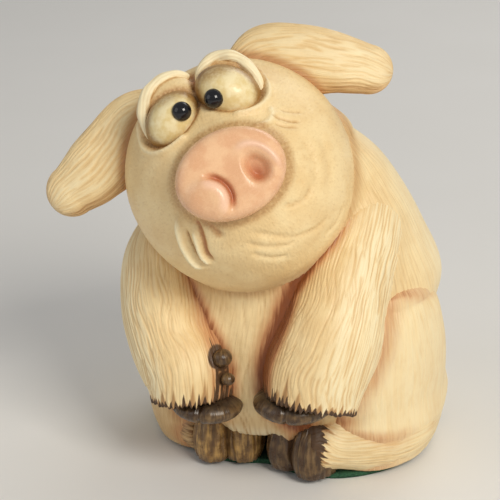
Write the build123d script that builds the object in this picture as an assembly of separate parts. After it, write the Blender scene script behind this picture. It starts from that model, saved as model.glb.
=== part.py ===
from build123d import *
import os
from math import cos, pi, radians, sin, sqrt, tan

os.makedirs("parts", exist_ok=True)

# A sitting pig ornament, cast in separate pieces that are glued together and stand on a felt pad.
# Millimetres. The pig looks along -Y, its left side is +X, and the felt pad lies on Z = 0.
# A table whose name ends in shares holds parts of the sizes beside it, chosen by hand.
# Every rounded casting is a skin of flat facets over rings, and the rings follow smooth curves.

# Facets round a ring, and rings between two rows of a table
body_sides = 34
head_sides = 30
limb_sides = 20
small_sides = 12
tail_sides = 8
ring_steps = 2
dome_turns = (28.0, 56.0)
pebble_turns = (18.0, 42.0, 66.0, 90.0, 114.0, 138.0, 162.0)

# Joints between the castings
peg_clearance = 0.15

# Body
body_height = 61.0
body_width = 52.4
body_depth = 50.0
body_dome = 0.36
# height, sideways and backward place, half width, half depth behind and half depth in front
body_shares = (
    (0.0, 0.0, 0.12, 0.9, 0.94, 0.52),
    (0.06, 0.0, 0.12, 0.95, 0.98, 0.6),
    (0.12, 0.0, 0.12, 0.97, 0.99, 0.84),
    (0.17, 0.0, 0.12, 0.98, 1.0, 0.95),
    (0.25, 0.0, 0.12, 0.975, 1.0, 1.0),
    (0.38, 0.0, 0.1, 0.968, 0.99, 0.97),
    (0.52, 0.03, 0.06, 1.0, 0.95, 0.88),
    (0.65, 0.012, 0.0, 0.908, 0.87, 0.76),
    (0.77, 0.0, -0.06, 0.788, 0.76, 0.62),
    (0.88, 0.0, -0.12, 0.632, 0.57, 0.48),
    (0.95, -0.01, -0.16, 0.46, 0.41, 0.38),
)

# Felt pad: its outline follows the footprint, in shares of the body's half width and half depth
felt_thickness = 1.0
felt_shares = (
    (0.02, -0.62),
    (0.24, -0.7),
    (0.46, -0.7),
    (0.62, -0.64),
    (0.76, -0.53),
    (0.86, -0.41),
    (0.93, -0.26),
    (0.98, -0.08),
    (1.0, 0.14),
    (1.0, 0.4),
    (0.93, 0.64),
    (0.72, 0.87),
    (0.4, 1.03),
    (0.0, 1.08),
    (-0.4, 1.03),
    (-0.72, 0.87),
    (-0.93, 0.64),
    (-0.99, 0.4),
    (-0.97, 0.18),
    (-0.91, 0.0),
    (-0.81, -0.18),
    (-0.68, -0.38),
    (-0.54, -0.54),
    (-0.38, -0.64),
    (-0.18, -0.66),
)

# Head: a ball that looks up and to the pig's left, and leans over
head_radius = 19.3
head_width = 38.4
crown_height = 19.0
chin_drop = 20.6
head_yaw = 14.0
head_pitch = 22.0
head_roll = 26.0
head_place_shares = (-0.216, -0.48, 0.858)
head_back_turns = (14.0, 30.0, 46.0, 62.0, 77.0)
# forward place, half width, half height above and below, for the front half of the head
head_front_shares = (
    (0.0, 1.0, 1.0, 1.0),
    (0.2, 0.985, 0.98, 0.985),
    (0.42, 0.92, 0.9, 0.93),
    (0.62, 0.81, 0.77, 0.83),
    (0.79, 0.67, 0.62, 0.7),
    (0.92, 0.53, 0.47, 0.53),
)
neck_diameter = 12.0
neck_length = 7.0
neck_aim_shares = (0.0, 0.24, 0.7)

# A place in the head is given in shares of its half width, its crown height or chin drop, and its radius

# Snout plate with two nostrils
snout_width = 18.0
snout_height = 14.2
snout_thickness = 3.9
snout_roll = -2.0
snout_place_shares = (-0.052, -0.053, 1.057)
snout_lean_power = 4
# thickness and girth of each ring of the plate
snout_shares = (
    (0.0, 0.95),
    (0.16, 1.0),
    (0.52, 1.0),
    (0.8, 0.93),
    (0.95, 0.8),
    (1.0, 0.66),
)
nostril_length = 6.0
nostril_width = 4.6
nostril_depth = 4.4
# side and rise in shares of the plate's half width and half height
left_nostril_shares = (0.456, -0.141)
right_nostril_shares = (-0.433, -0.282)
nostril_turn = 78.0

# Eyes
eye_depth = 10.8
left_eye_length = 11.6
left_eye_height = 9.0
left_eye_shares = (0.214, 0.6, 0.653)
left_eye_turn = -50.0
right_eye_length = 10.6
right_eye_height = 8.2
right_eye_shares = (-0.307, 0.589, 0.653)
right_eye_turn = 29.0
pupil_diameter = 3.2
# along and across the eye, in shares of its half length and half height
left_pupil_shares = (-0.357, -0.513)
right_pupil_shares = (0.277, -0.059)

# Lid mounds behind the eyes
lid_depth = 9.4
left_lid_width = 11.6
left_lid_height = 12.0
left_lid_shares = (0.203, 0.605, 0.508)
right_lid_width = 12.4
right_lid_height = 13.4
right_lid_shares = (-0.255, 0.616, 0.497)

# Brow ridges that arch over the lids
brow_width = 2.4
left_brow_shares = (
    (0.021, 0.815, 0.6),
    (0.104, 0.895, 0.55),
    (0.26, 0.915, 0.52),
    (0.4, 0.82, 0.575),
    (0.475, 0.65, 0.625),
    (0.484, 0.553, 0.69),
)
right_brow_shares = (
    (-0.531, 0.653, 0.622),
    (-0.5, 0.758, 0.615),
    (-0.417, 0.865, 0.6),
    (-0.286, 0.935, 0.56),
    (-0.141, 0.95, 0.5),
    (-0.047, 0.915, 0.48),
)

# Smile at the pig's right cheek: a raised lip and the crease beside it
lip_width = 2.2
crease_width = 1.6
# side and rise of each point, which lies in the surface of the head
lip_shares = ((-0.623, -0.187), (-0.651, -0.328), (-0.668, -0.422), (-0.653, -0.515), (-0.613, -0.6))
crease_shares = ((-0.5, -0.272), (-0.495, -0.351), (-0.538, -0.459), (-0.553, -0.572))

# Ears
ear_width = 9.8
ear_thickness = 5.6
ear_dome = 0.75
ear_peg_diameter = 4.0
ear_peg_length = 5.0
ear_rim = 1.8
scoop_depth = 1.3
scoop_dome = 0.6
# side, rise and forward place, half width, half thickness in front and behind
left_ear_shares = (
    (0.402, 0.772, -0.06, 0.85, 0.9, 0.9),
    (0.633, 0.813, -0.04, 1.14, 1.0, 0.95),
    (0.905, 0.696, 0.01, 1.1, 1.05, 0.85),
    (1.156, 0.513, 0.03, 1.06, 0.98, 0.8),
    (1.387, 0.34, 0.01, 0.88, 0.82, 0.7),
    (1.528, 0.239, -0.02, 0.55, 0.6, 0.52),
)
right_ear_shares = (
    (-0.422, 0.802, -0.06, 0.85, 0.9, 0.9),
    (-0.648, 0.802, -0.04, 1.02, 1.0, 0.95),
    (-0.905, 0.67, 0.01, 1.12, 1.05, 0.85),
    (-1.151, 0.549, 0.03, 1.16, 0.98, 0.8),
    (-1.392, 0.467, 0.01, 0.94, 0.82, 0.7),
    (-1.518, 0.462, -0.02, 0.58, 0.6, 0.52),
)

# Forelegs, which come down the chest to the middle, and their hooves
foreleg_width = 16.0
foreleg_depth = 16.6
limb_dome = 0.8
hoof_width = 13.5
hoof_depth = 12.2
hoof_height = 5.6
cleft_width = 1.0
cleft_depth = 2.6
left_foreleg_shares = (
    (0.38, 0.02, 0.7, 0.5, 0.5, 0.5),
    (0.55, -0.24, 0.7, 0.76, 0.76, 0.76),
    (0.535, -0.5, 0.605, 0.88, 0.88, 0.88),
    (0.51, -0.66, 0.525, 0.96, 0.96, 0.96),
    (0.485, -0.8, 0.44, 1.05, 1.0, 1.0),
    (0.415, -0.885, 0.35, 1.08, 1.0, 1.0),
    (0.393, -0.93, 0.28, 1.0, 0.9, 0.9),
)
left_hoof_shares = (0.275, -0.955, 0.265)
right_foreleg_shares = (
    (-0.46, 0.06, 0.66, 0.5, 0.5, 0.5),
    (-0.68, -0.19, 0.64, 0.68, 0.76, 0.76),
    (-0.76, -0.42, 0.56, 0.84, 0.92, 0.92),
    (-0.695, -0.61, 0.46, 0.95, 0.98, 0.98),
    (-0.59, -0.76, 0.375, 0.955, 0.98, 0.98),
    (-0.46, -0.86, 0.3, 0.955, 0.96, 0.96),
    (-0.437, -0.885, 0.243, 0.86, 0.88, 0.88),
)
right_hoof_shares = (-0.31, -0.928, 0.222)
right_hoof_share = 0.92

# Dewclaws on the inner side of the right foreleg
dewclaw_diameter = 3.7
lower_dewclaw_diameter = 2.6
dewclaw_shares = (-0.2, -0.945, 0.375)
lower_dewclaw_shares = (-0.15, -0.985, 0.32)

# Haunches with the hind feet that lie on the felt
haunch_length = 36.0
haunch_height = 32.0
haunch_width = 23.0
haunch_dome = 0.4
haunch_place_shares = (0.63, 0.04)
# height and girth of each ring of the thigh
haunch_shares = (
    (0.0, 0.84),
    (0.26, 0.97),
    (0.52, 1.0),
    (0.8, 0.955),
    (0.93, 0.83),
)
right_haunch_share = 0.9
foot_width = 9.0
foot_height = 11.0
left_foot_shares = (
    (0.89, 0.24, 0.1, 0.95, 1.05, 1.2),
    (0.875, -0.02, 0.085, 1.0, 1.0, 1.0),
    (0.85, -0.27, 0.085, 1.08, 1.0, 0.9),
    (0.66, -0.5, 0.085, 1.1, 1.0, 0.9),
    (0.43, -0.64, 0.08, 1.05, 0.92, 0.9),
)
right_foot_shares = (
    (-0.77, 0.22, 0.075, 0.75, 0.75, 0.9),
    (-0.81, 0.0, 0.08, 0.95, 0.92, 0.9),
    (-0.665, -0.24, 0.08, 1.0, 0.92, 0.9),
    (-0.53, -0.42, 0.075, 1.0, 0.86, 0.9),
    (-0.41, -0.55, 0.07, 1.0, 0.82, 0.9),
)

# Hind trotters: two toes side by side
toe_length = 12.0
toe_width = 8.2
toe_height = 14.1
toe_splay = 6.0
# half the distance between the middles of the toes, as a share of their width
toe_spread_share = 0.3
left_toe_turn = -24.0
right_toe_turn = 14.0
left_toes_place_shares = (0.29, -0.61, 0.065)
right_toes_place_shares = (-0.27, -0.55, 0.06)
hind_dewclaw_diameter = 4.6
hind_dewclaw_shares = (-0.56, -0.56, 0.06)

# Tail: a curl that lies against the rump
tail_width = 3.6
tail_curl = 4.4
tail_height = 17.0
tail_turns = (100.0, 60.0, 20.0, -20.0, -60.0, -100.0, -140.0, -180.0, -215.0)
tail_taper = 0.5
tail_dome = 0.9
# how far its middle stands off the rump, as a share of its width
tail_proud_share = 0.15
tail_peg_diameter = 2.0
tail_peg_length = 3.0


def facet(*corners):
    """A flat face between corners."""
    return Face(Wire(Polyline(*corners, close=True).edges()))


def skin(rings):
    """A closed solid of flat facets over rings of points, where a ring of one point is a tip."""
    facets = []
    for lower, upper in zip(rings, rings[1:]):
        count = max(len(lower), len(upper))
        for index in range(count):
            after = (index + 1) % count
            if len(lower) > 1:
                facets.append(facet(lower[index], lower[after], upper[after % len(upper)]))
            if len(upper) > 1:
                facets.append(facet(lower[index % len(lower)], upper[after], upper[index]))
    facets += [facet(*ring) for ring in (rings[0], rings[-1]) if len(ring) > 1]
    return Solid(Shell(facets))


def between(rows):
    """The rows of a table with further rows between them, on a smooth curve through all of them."""
    last = len(rows) - 1
    result = []
    for index in range(last):
        before, start = rows[max(index - 1, 0)], rows[index]
        end, after = rows[index + 1], rows[min(index + 2, last)]
        for step in range(ring_steps):
            t = step / ring_steps
            result.append(
                [
                    b + t * (c - a + t * (2 * a - 5 * b + 4 * c - d + t * (3 * b - a - 3 * c + d))) / 2
                    for a, b, c, d in zip(before, start, end, after)
                ]
            )
    return result + [list(rows[last])]


def ring(place, along, side, halves, sides):
    """Points round an oval square to a direction, with a half width, a half height and a half drop."""
    across = (side - along * side.dot(along)).normalized()
    rise = along.cross(across)
    points = []
    for index in range(sides):
        turn = 2 * pi * index / sides
        half = halves[1] if sin(turn) > 0 else halves[2]
        points.append(place + across * (halves[0] * cos(turn)) + rise * (half * sin(turn)))
    return points


def form(rows, side, sides, steady=None, start_dome=0.0, end_dome=0.0):
    """A casting along a route: each row is a place, a half width, a half height and a half drop."""
    places = [Vector(*row[:3]) for row in rows]
    rings = []
    for index, (place, row) in enumerate(zip(places, rows)):
        course = places[min(index + 1, len(rows) - 1)] - places[max(index - 1, 0)]
        along = (steady or course).normalized()
        rings.append(ring(place, along, side, row[3:], sides))
        if index == 0 and start_dome:
            rings = dome(place, along * -1, along, side, row[3:], sides, start_dome)[::-1] + rings
        if index == len(rows) - 1 and end_dome:
            rings += dome(place, along, along, side, row[3:], sides, end_dome)
    return skin(rings)


def dome(place, out, along, side, halves, sides, share):
    """The rings that round off an end, up to its tip."""
    reach = halves[0] * share
    rings = []
    for turn in dome_turns:
        smaller = [half * cos(radians(turn)) for half in halves]
        rings.append(ring(place + out * (reach * sin(radians(turn))), along, side, smaller, sides))
    return rings + [[place + out * reach]]


def pebble(plane, length, height, depth, sides):
    """A stretched ball: length along the plane's x, height along its y and depth along its z."""
    rings = [[vector_on(plane, 0, 0, -depth / 2)]]
    for turn in pebble_turns:
        girth = sin(radians(turn))
        place = vector_on(plane, 0, 0, -depth / 2 * cos(radians(turn)))
        halves = (length / 2 * girth, height / 2 * girth, height / 2 * girth)
        rings.append(ring(place, plane.z_dir, plane.x_dir, halves, sides))
    rings.append([vector_on(plane, 0, 0, depth / 2)])
    return skin(rings)


def vector_on(plane, x, y, z=0.0):
    """The place of a point of a plane's own frame."""
    return plane.origin + plane.x_dir * x + plane.y_dir * y + plane.z_dir * z


def on_body(x, y, z):
    """A place given in shares of the body's half width, half depth and height."""
    return Vector(x * body_width / 2, y * body_depth / 2, felt_thickness + z * body_height)


def head_plane():
    """The head's frame: x to the pig's left along the eyes, y to the crown and z out of the snout."""
    yaw, pitch, roll = radians(head_yaw), radians(head_pitch), radians(head_roll)
    forward = Vector(sin(yaw) * cos(pitch), -cos(yaw) * cos(pitch), sin(pitch))
    level = Vector(cos(yaw), sin(yaw), 0)
    upward = forward.cross(level)
    across = level * cos(roll) + upward * sin(roll)
    return Plane(on_body(*head_place_shares), x_dir=across, z_dir=forward)


def turned(plane, turn):
    """A plane turned in itself about its origin."""
    turn = radians(turn)
    return Plane(plane.origin, x_dir=plane.x_dir * cos(turn) + plane.y_dir * sin(turn), z_dir=plane.z_dir)


def in_head(x, y, z):
    """The lengths along the head's frame that stand for shares of the head."""
    return x * head_width / 2, y * (crown_height if y > 0 else chin_drop), z * head_radius


def on_head(shares, turn=0.0):
    """A frame at a place given in shares of the head, turned about the view out of the snout."""
    face = head_plane()
    return turned(Plane(vector_on(face, *in_head(*shares)), x_dir=face.x_dir, z_dir=face.z_dir), turn)


def above_felt(shape):
    """What is left of a casting once its underside is ground flat."""
    floor = Pos(0, 0, felt_thickness - body_height) * Box(
        body_width * 2, body_depth * 2, body_height, align=(Align.CENTER, Align.CENTER, Align.MIN)
    )
    return shape - floor


def make_body():
    rows = []
    for height, sideways, backward, width, behind, ahead in between(body_shares):
        place = on_body(sideways, backward, height)
        rows.append((*place, width * body_width / 2, behind * body_depth / 2, ahead * body_depth / 2))
    return form(rows, Vector(1, 0, 0), body_sides, steady=Vector(0, 0, 1), end_dome=body_dome)


def make_ball():
    face = head_plane()
    side, rise, reach = in_head(*snout_place_shares)
    rows = []
    for turn in head_back_turns:
        girth = sin(radians(turn))
        place = vector_on(face, 0, 0, -head_radius * cos(radians(turn)))
        rows.append((*place, head_width / 2 * girth, crown_height * girth, chin_drop * girth))
    for forward, width, above, below in between(head_front_shares):
        shift = forward**snout_lean_power
        place = vector_on(face, side * shift, rise * shift, forward * head_radius)
        rows.append((*place, width * head_width / 2, above * crown_height, below * chin_drop))
    girth = snout_shares[0][1] / 2
    height = snout_height * girth
    rows.append((*vector_on(face, side, rise, reach), snout_width * girth, height, height))
    back_dome = tan(radians(head_back_turns[0] / 2))
    return form(rows, face.x_dir, head_sides, steady=face.z_dir, start_dome=back_dome)


def front_of_head(x, y):
    """How far forward the head's surface lies at a side and a rise, as a share of its radius."""
    side, rise, _ = in_head(*snout_place_shares)
    x, y, _ = in_head(x, y, 0)
    rows = between(head_front_shares)
    for nearer, further in zip(rows, rows[1:]):
        measures = []
        for forward, width, above, below in (nearer, further):
            shift = forward**snout_lean_power
            half = above * crown_height if y > rise * shift else below * chin_drop
            across = (x - side * shift) / (width * head_width / 2)
            measures.append(sqrt(across**2 + ((y - rise * shift) / half) ** 2))
        if measures[0] <= 1 <= measures[1]:
            part = (1 - measures[0]) / (measures[1] - measures[0])
            return nearer[0] + part * (further[0] - nearer[0])
    return snout_place_shares[2]


def make_neck(grow=0.0):
    """The peg behind the head that sits in the body."""
    start = head_plane().origin
    aim = (on_body(*neck_aim_shares) - start).normalized()
    reach = head_radius + neck_length + grow
    return Plane(start, z_dir=aim).location * Cylinder(
        neck_diameter / 2 + grow, reach, align=(Align.CENTER, Align.CENTER, Align.MIN)
    )


def make_snout():
    plate = on_head(snout_place_shares, snout_roll)
    rings = []
    for out, girth in snout_shares:
        place = vector_on(plate, 0, 0, out * snout_thickness)
        halves = (snout_width / 2 * girth, snout_height / 2 * girth, snout_height / 2 * girth)
        rings.append(ring(place, plate.z_dir, plate.x_dir, halves, head_sides))
    snout = skin(rings)
    for side, (x, y) in ((1, left_nostril_shares), (-1, right_nostril_shares)):
        place = vector_on(plate, x * snout_width / 2, y * snout_height / 2, snout_thickness)
        mouth = turned(Plane(place, x_dir=plate.x_dir, z_dir=plate.z_dir), side * nostril_turn)
        snout -= pebble(mouth, nostril_length, nostril_width, nostril_depth, small_sides)
    return snout


def make_eye(shares, turn, length, height):
    return pebble(on_head(shares, turn), length, height, eye_depth, limb_sides)


def make_pupil(shares, eye_shares, turn, length, height):
    """A bead sunk to its middle in the eyeball."""
    along, across = shares
    out = sqrt(1 - along**2 - across**2)
    eye = on_head(eye_shares, turn)
    bead = Plane(
        vector_on(eye, along * length / 2, across * height / 2, out * eye_depth / 2),
        x_dir=eye.x_dir,
        z_dir=eye.z_dir,
    )
    return pebble(bead, pupil_diameter, pupil_diameter, pupil_diameter, small_sides)


def make_crease(places, width):
    """A rounded cord through places of the head's surface, as a ridge or a groove."""
    face = head_plane()
    rows = [(*vector_on(face, *in_head(*place)), *[width / 2] * 3) for place in between(places)]
    return form(rows, face.z_dir, small_sides // 2, start_dome=1.0, end_dome=1.0)


def on_cheek(shares):
    """The sides and rises of a table with the forward place of the head's surface at each."""
    return [(x, y, front_of_head(x, y)) for x, y in between(shares)]


def make_ear(shares):
    face = head_plane()
    rows = []
    for x, y, z, width, front, back in between(shares):
        place = vector_on(face, *in_head(x, y, z))
        rows.append((*place, width * ear_width / 2, front * ear_thickness / 2, back * ear_thickness / 2))
    up = face.y_dir if shares[0][0] > 0 else face.y_dir * -1
    return form(rows, up, limb_sides, end_dome=ear_dome)


def make_scoop(shares):
    """The hollow of the ear, in the side that faces down and back."""
    face = head_plane()
    rows = []
    for x, y, z, width, front, back in between(shares[1:-1]):
        place = vector_on(face, *in_head(x, y, z)) - face.z_dir * (back * ear_thickness / 2)
        rows.append((*place, width * ear_width / 2 - ear_rim, scoop_depth, scoop_depth))
    return form(rows, face.y_dir, small_sides, start_dome=scoop_dome, end_dome=scoop_dome)


def make_ear_peg(shares, grow=0.0):
    """The peg at the root of an ear that sits in the head."""
    face = head_plane()
    start = vector_on(face, *in_head(*shares[1][:3]))
    aim = (face.origin - start).normalized()
    return Plane(start, z_dir=aim).location * Cylinder(
        ear_peg_diameter / 2 + grow, ear_peg_length + grow, align=(Align.CENTER, Align.CENTER, Align.MIN)
    )


def limb_rows(shares, width, height):
    rows = []
    for x, y, z, across, upper, lower in between(shares):
        rows.append((*on_body(x, y, z), across * width / 2, upper * height / 2, lower * height / 2))
    return rows


def make_foreleg(shares):
    rows = limb_rows(shares, foreleg_width, foreleg_depth)
    return form(rows, Vector(1, 0, 0), limb_sides, start_dome=limb_dome)


def make_hoof(shares, share):
    """A flat hoof under the end of its foreleg, cloven in front."""
    middle = Plane(on_body(*shares))
    hoof = pebble(middle, share * hoof_width, share * hoof_depth, share * hoof_height, limb_sides)
    front = vector_on(middle, 0, -share * hoof_depth / 2)
    return hoof - Plane(front).location * Box(cleft_width, cleft_depth * 2, hoof_height)


def make_dewclaw(shares, diameter):
    return pebble(Plane(on_body(*shares)), diameter, diameter, diameter, small_sides)


def make_haunch(side, foot_shares):
    """A rounded thigh with the hind foot lying in front of it."""
    share = 1.0 if side > 0 else right_haunch_share
    x, y = haunch_place_shares
    thigh = []
    for height, girth in between(haunch_shares):
        place = on_body(side * x * share, y, share * height * haunch_height / body_height)
        halves = (share * girth * haunch_width / 2, girth * haunch_length / 2, girth * haunch_length / 2)
        thigh.append((*place, *halves))
    thigh = form(thigh, Vector(1, 0, 0), limb_sides, steady=Vector(0, 0, 1), end_dome=haunch_dome)
    rows = limb_rows(foot_shares, foot_width, foot_height)
    return thigh + form(rows, Vector(side, 0, 0), limb_sides, start_dome=limb_dome)


def make_trotter(place_shares, turn):
    """Two toes side by side with a cleft between them."""
    middle = turned(Plane(on_body(*place_shares)), turn)
    toes = []
    for half in (-1, 1):
        spot = vector_on(middle, half * toe_width * toe_spread_share, 0)
        plane = turned(Plane(spot, x_dir=middle.x_dir, z_dir=middle.z_dir), half * toe_splay)
        toes.append(pebble(plane, toe_width, toe_length, toe_height, small_sides))
    return toes[0] + toes[1]


def back_of_body(height):
    """Where the body's back lies at a height."""
    rows = between(body_shares)
    near = min(rows, key=lambda row: abs(felt_thickness + row[0] * body_height - height))
    return (near[2] + near[4]) * body_depth / 2


def make_tail():
    rows = []
    for index, turn in enumerate(tail_turns):
        share = 1 - (1 - tail_taper) * index / (len(tail_turns) - 1)
        curl = tail_curl * share
        height = tail_height + curl * sin(radians(turn))
        x = curl * cos(radians(turn))
        out = back_of_body(height) + tail_width * tail_proud_share - x**2 / body_width
        rows.append((x, out, height, *[tail_width / 2 * share] * 3))
    return form(rows, Vector(0, 1, 0), tail_sides, start_dome=tail_dome, end_dome=tail_dome)


def make_tail_peg(grow=0.0):
    """The peg at the root of the tail that sits in the rump."""
    turn = radians(tail_turns[0])
    height = tail_height + tail_curl * sin(turn)
    out = back_of_body(height) + tail_width * tail_proud_share
    start = Vector(tail_curl * cos(turn), out, height)
    return Plane(start, z_dir=(0, -1, 0)).location * Cylinder(
        tail_peg_diameter / 2 + grow, tail_peg_length + grow, align=(Align.CENTER, Align.CENTER, Align.MIN)
    )


def make_felt():
    """A thin pad whose outline is a smooth closed curve through the table."""
    corners = between(felt_shares[-1:] + felt_shares + felt_shares[:2])
    corners = corners[ring_steps : ring_steps * (len(felt_shares) + 1)]
    outline = [(x * body_width / 2, y * body_depth / 2) for x, y in corners]
    return extrude(make_face(Polyline(*outline, close=True).edges()), felt_thickness)


def export(name, shape):
    solids = shape.solids()
    volumes = [round(solid.volume, 1) for solid in solids]
    print(name, len(solids), volumes, len(shape.faces()), shape.is_valid)
    export_step(shape, f"parts/{name}.step")


# The whole forms, before they are cut to sit on each other
ball = make_ball()
trunk = above_felt(make_body()) - ball
eye_sizes = {
    "left": (left_eye_shares, left_eye_turn, left_eye_length, left_eye_height),
    "right": (right_eye_shares, right_eye_turn, right_eye_length, right_eye_height),
}
pupil_shares = {"left": left_pupil_shares, "right": right_pupil_shares}
eyes = {side: make_eye(*sizes) for side, sizes in eye_sizes.items()}
pupils = {side: make_pupil(pupil_shares[side], *sizes) for side, sizes in eye_sizes.items()}
ear_shares = {"left": left_ear_shares, "right": right_ear_shares}
leg_shares = {"left": left_foreleg_shares, "right": right_foreleg_shares}
legs = {side: make_foreleg(shares) for side, shares in leg_shares.items()}
hooves = {
    "left": make_hoof(left_hoof_shares, 1.0),
    "right": make_hoof(right_hoof_shares, right_hoof_share),
}
toes = {
    "left": make_trotter(left_toes_place_shares, left_toe_turn),
    "right": make_trotter(right_toes_place_shares, right_toe_turn),
}
haunches = {"left": make_haunch(1, left_foot_shares), "right": make_haunch(-1, right_foot_shares)}

# Head
head = ball
head += pebble(on_head(left_lid_shares), left_lid_width, left_lid_height, lid_depth, limb_sides)
head += pebble(on_head(right_lid_shares), right_lid_width, right_lid_height, lid_depth, limb_sides)
head += make_crease(left_brow_shares, brow_width)
head += make_crease(right_brow_shares, brow_width)
head += make_crease(on_cheek(lip_shares), lip_width)
head -= make_crease(on_cheek(crease_shares), crease_width)
head += make_neck()
for side in ("left", "right"):
    head = head - eyes[side] - pupils[side] - make_ear_peg(ear_shares[side], peg_clearance)
export("head", head)
export("snout", make_snout())
export("left_eyeball", eyes["left"] - pupils["left"])
export("right_eyeball", eyes["right"] - eyes["left"] - pupils["right"])
for side in ("left", "right"):
    export(f"{side}_pupil", pupils[side])
    ear = make_ear(ear_shares[side]) - make_scoop(ear_shares[side]) - ball
    export(f"{side}_ear", ear + make_ear_peg(ear_shares[side]))

# Body and limbs
export("body", trunk - make_neck(peg_clearance) - make_tail_peg(peg_clearance))
hind_dewclaw = above_felt(make_dewclaw(hind_dewclaw_shares, hind_dewclaw_diameter)) - toes["right"]
for side in ("left", "right"):
    export(f"{side}_foreleg", legs[side] - trunk - ball)
    export(f"{side}_fore_hoof", hooves[side] - trunk - legs[side])
    export(f"{side}_hind_trotter", above_felt(toes[side]) - trunk - hooves[side])
    haunch = above_felt(haunches[side]) - trunk - toes[side] - legs[side] - hooves[side]
    if side == "right":
        haunch -= hind_dewclaw
    export(f"{side}_haunch", haunch)
export("right_hind_dewclaw", hind_dewclaw - trunk)
export("right_dewclaw", make_dewclaw(dewclaw_shares, dewclaw_diameter) - legs["right"] - trunk)
lower_dewclaw = make_dewclaw(lower_dewclaw_shares, lower_dewclaw_diameter)
export("right_lower_dewclaw", lower_dewclaw - legs["right"] - trunk)
export("tail", make_tail() - trunk + make_tail_peg())
export("felt_pad", make_felt())
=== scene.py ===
import bpy
import numpy as np
from mathutils import Matrix, Vector


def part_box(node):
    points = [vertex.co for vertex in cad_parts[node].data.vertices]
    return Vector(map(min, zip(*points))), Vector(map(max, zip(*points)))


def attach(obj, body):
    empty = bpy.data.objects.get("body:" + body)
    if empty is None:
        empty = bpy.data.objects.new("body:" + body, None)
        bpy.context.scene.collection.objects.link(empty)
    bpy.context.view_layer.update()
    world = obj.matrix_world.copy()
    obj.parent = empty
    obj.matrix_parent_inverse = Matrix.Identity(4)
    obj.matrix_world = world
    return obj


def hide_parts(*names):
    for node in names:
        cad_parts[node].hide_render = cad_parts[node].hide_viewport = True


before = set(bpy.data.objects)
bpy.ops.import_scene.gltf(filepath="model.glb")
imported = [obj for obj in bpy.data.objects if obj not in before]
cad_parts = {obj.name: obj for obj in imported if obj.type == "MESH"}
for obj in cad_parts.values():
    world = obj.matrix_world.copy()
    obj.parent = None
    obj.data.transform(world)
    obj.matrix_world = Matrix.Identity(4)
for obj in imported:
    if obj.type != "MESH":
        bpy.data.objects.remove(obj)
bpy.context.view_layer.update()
mm = 0.001

# The pig looks along -Y and its left side is +X. Shapes are worked out in millimetres on grids
# whose rows run along a form and whose columns run round it; the first and last row are tips.
body = dict(
    height=61.0, width=52.4, depth=50.0, around=470, along=204, dome=0.36,
    # height, sideways and backward place, half width, half depth behind and in front, as shares
    shares=(
        (0.0, 0.0, 0.12, 0.9, 0.94, 0.52), (0.06, 0.0, 0.12, 0.95, 0.98, 0.6),
        (0.12, 0.0, 0.12, 0.97, 0.99, 0.84), (0.17, 0.0, 0.12, 0.98, 1.0, 0.95),
        (0.25, 0.0, 0.12, 0.975, 1.0, 1.0), (0.38, 0.0, 0.1, 0.968, 0.99, 0.97),
        (0.52, 0.03, 0.06, 1.0, 0.95, 0.88), (0.65, 0.012, 0.0, 0.908, 0.87, 0.76),
        (0.77, 0.0, -0.06, 0.788, 0.76, 0.62), (0.88, 0.0, -0.12, 0.632, 0.57, 0.48),
        (0.95, -0.01, -0.16, 0.46, 0.41, 0.38),
    ),
    # strokes: width, length and seed, their depth, and what the belly adds to it
    fur=(1.0, 7.0, 71), furDepth=0.07, bellyDepth=0.1,
    # the belly's lower edge: its height, how far it is pulled down, and the width of the waves
    apron=8.5, drop=1.6, scallop=2.4, scallopSeed=9,
)
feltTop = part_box("felt_pad")[1].z / mm
signs = dict(left=1, right=-1)


def unit(vectors):
    # each vector divided by its own length
    return vectors / np.maximum(np.linalg.norm(vectors, axis=-1, keepdims=True), 1e-12)


def smoothRows(rows, steps=12):
    # a Catmull-Rom curve through the rows of a table, with `steps` rows in each span
    rows = np.array(rows, float)
    padded = np.vstack([rows[:1], rows, rows[-1:]])
    reach = np.linspace(0, len(rows) - 1, (len(rows) - 1) * steps + 1)
    span = np.minimum(reach.astype(int), len(rows) - 2)
    t = (reach - span)[:, None]
    a, b, c, d = padded[span], padded[span + 1], padded[span + 2], padded[span + 3]
    return b + t * (c - a + t * (2 * a - 5 * b + 4 * c - d + t * (3 * b - a - 3 * c + d))) / 2


def onBody(x, y, z):
    # a place given in shares of the body's half width, half depth and height
    half = np.array([body["width"] / 2, body["depth"] / 2, body["height"]])
    return np.stack([x, y, z], axis=-1) * half + [0, 0, feltTop]


def bell(x, width):
    # 1 where x is 0, falling on both sides as e to the minus square of x over the width
    return np.exp(-((x / width) ** 2))


def ramp(low, high, x):
    # 0 below low, 1 above high and a smooth step between
    t = np.clip((x - low) / (high - low), 0, 1)
    return t * t * (3 - 2 * t)


def smoothMax(a, b, blend):
    # the larger of two numbers, with a rounded step where they are alike
    part = np.maximum(blend - np.abs(a - b), 0) / blend
    return np.maximum(a, b) + part**2 * blend / 4


def turned(x, y, angle):
    # pairs of lengths turned about their origin
    return x * np.cos(angle) - y * np.sin(angle), x * np.sin(angle) + y * np.cos(angle)


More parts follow.
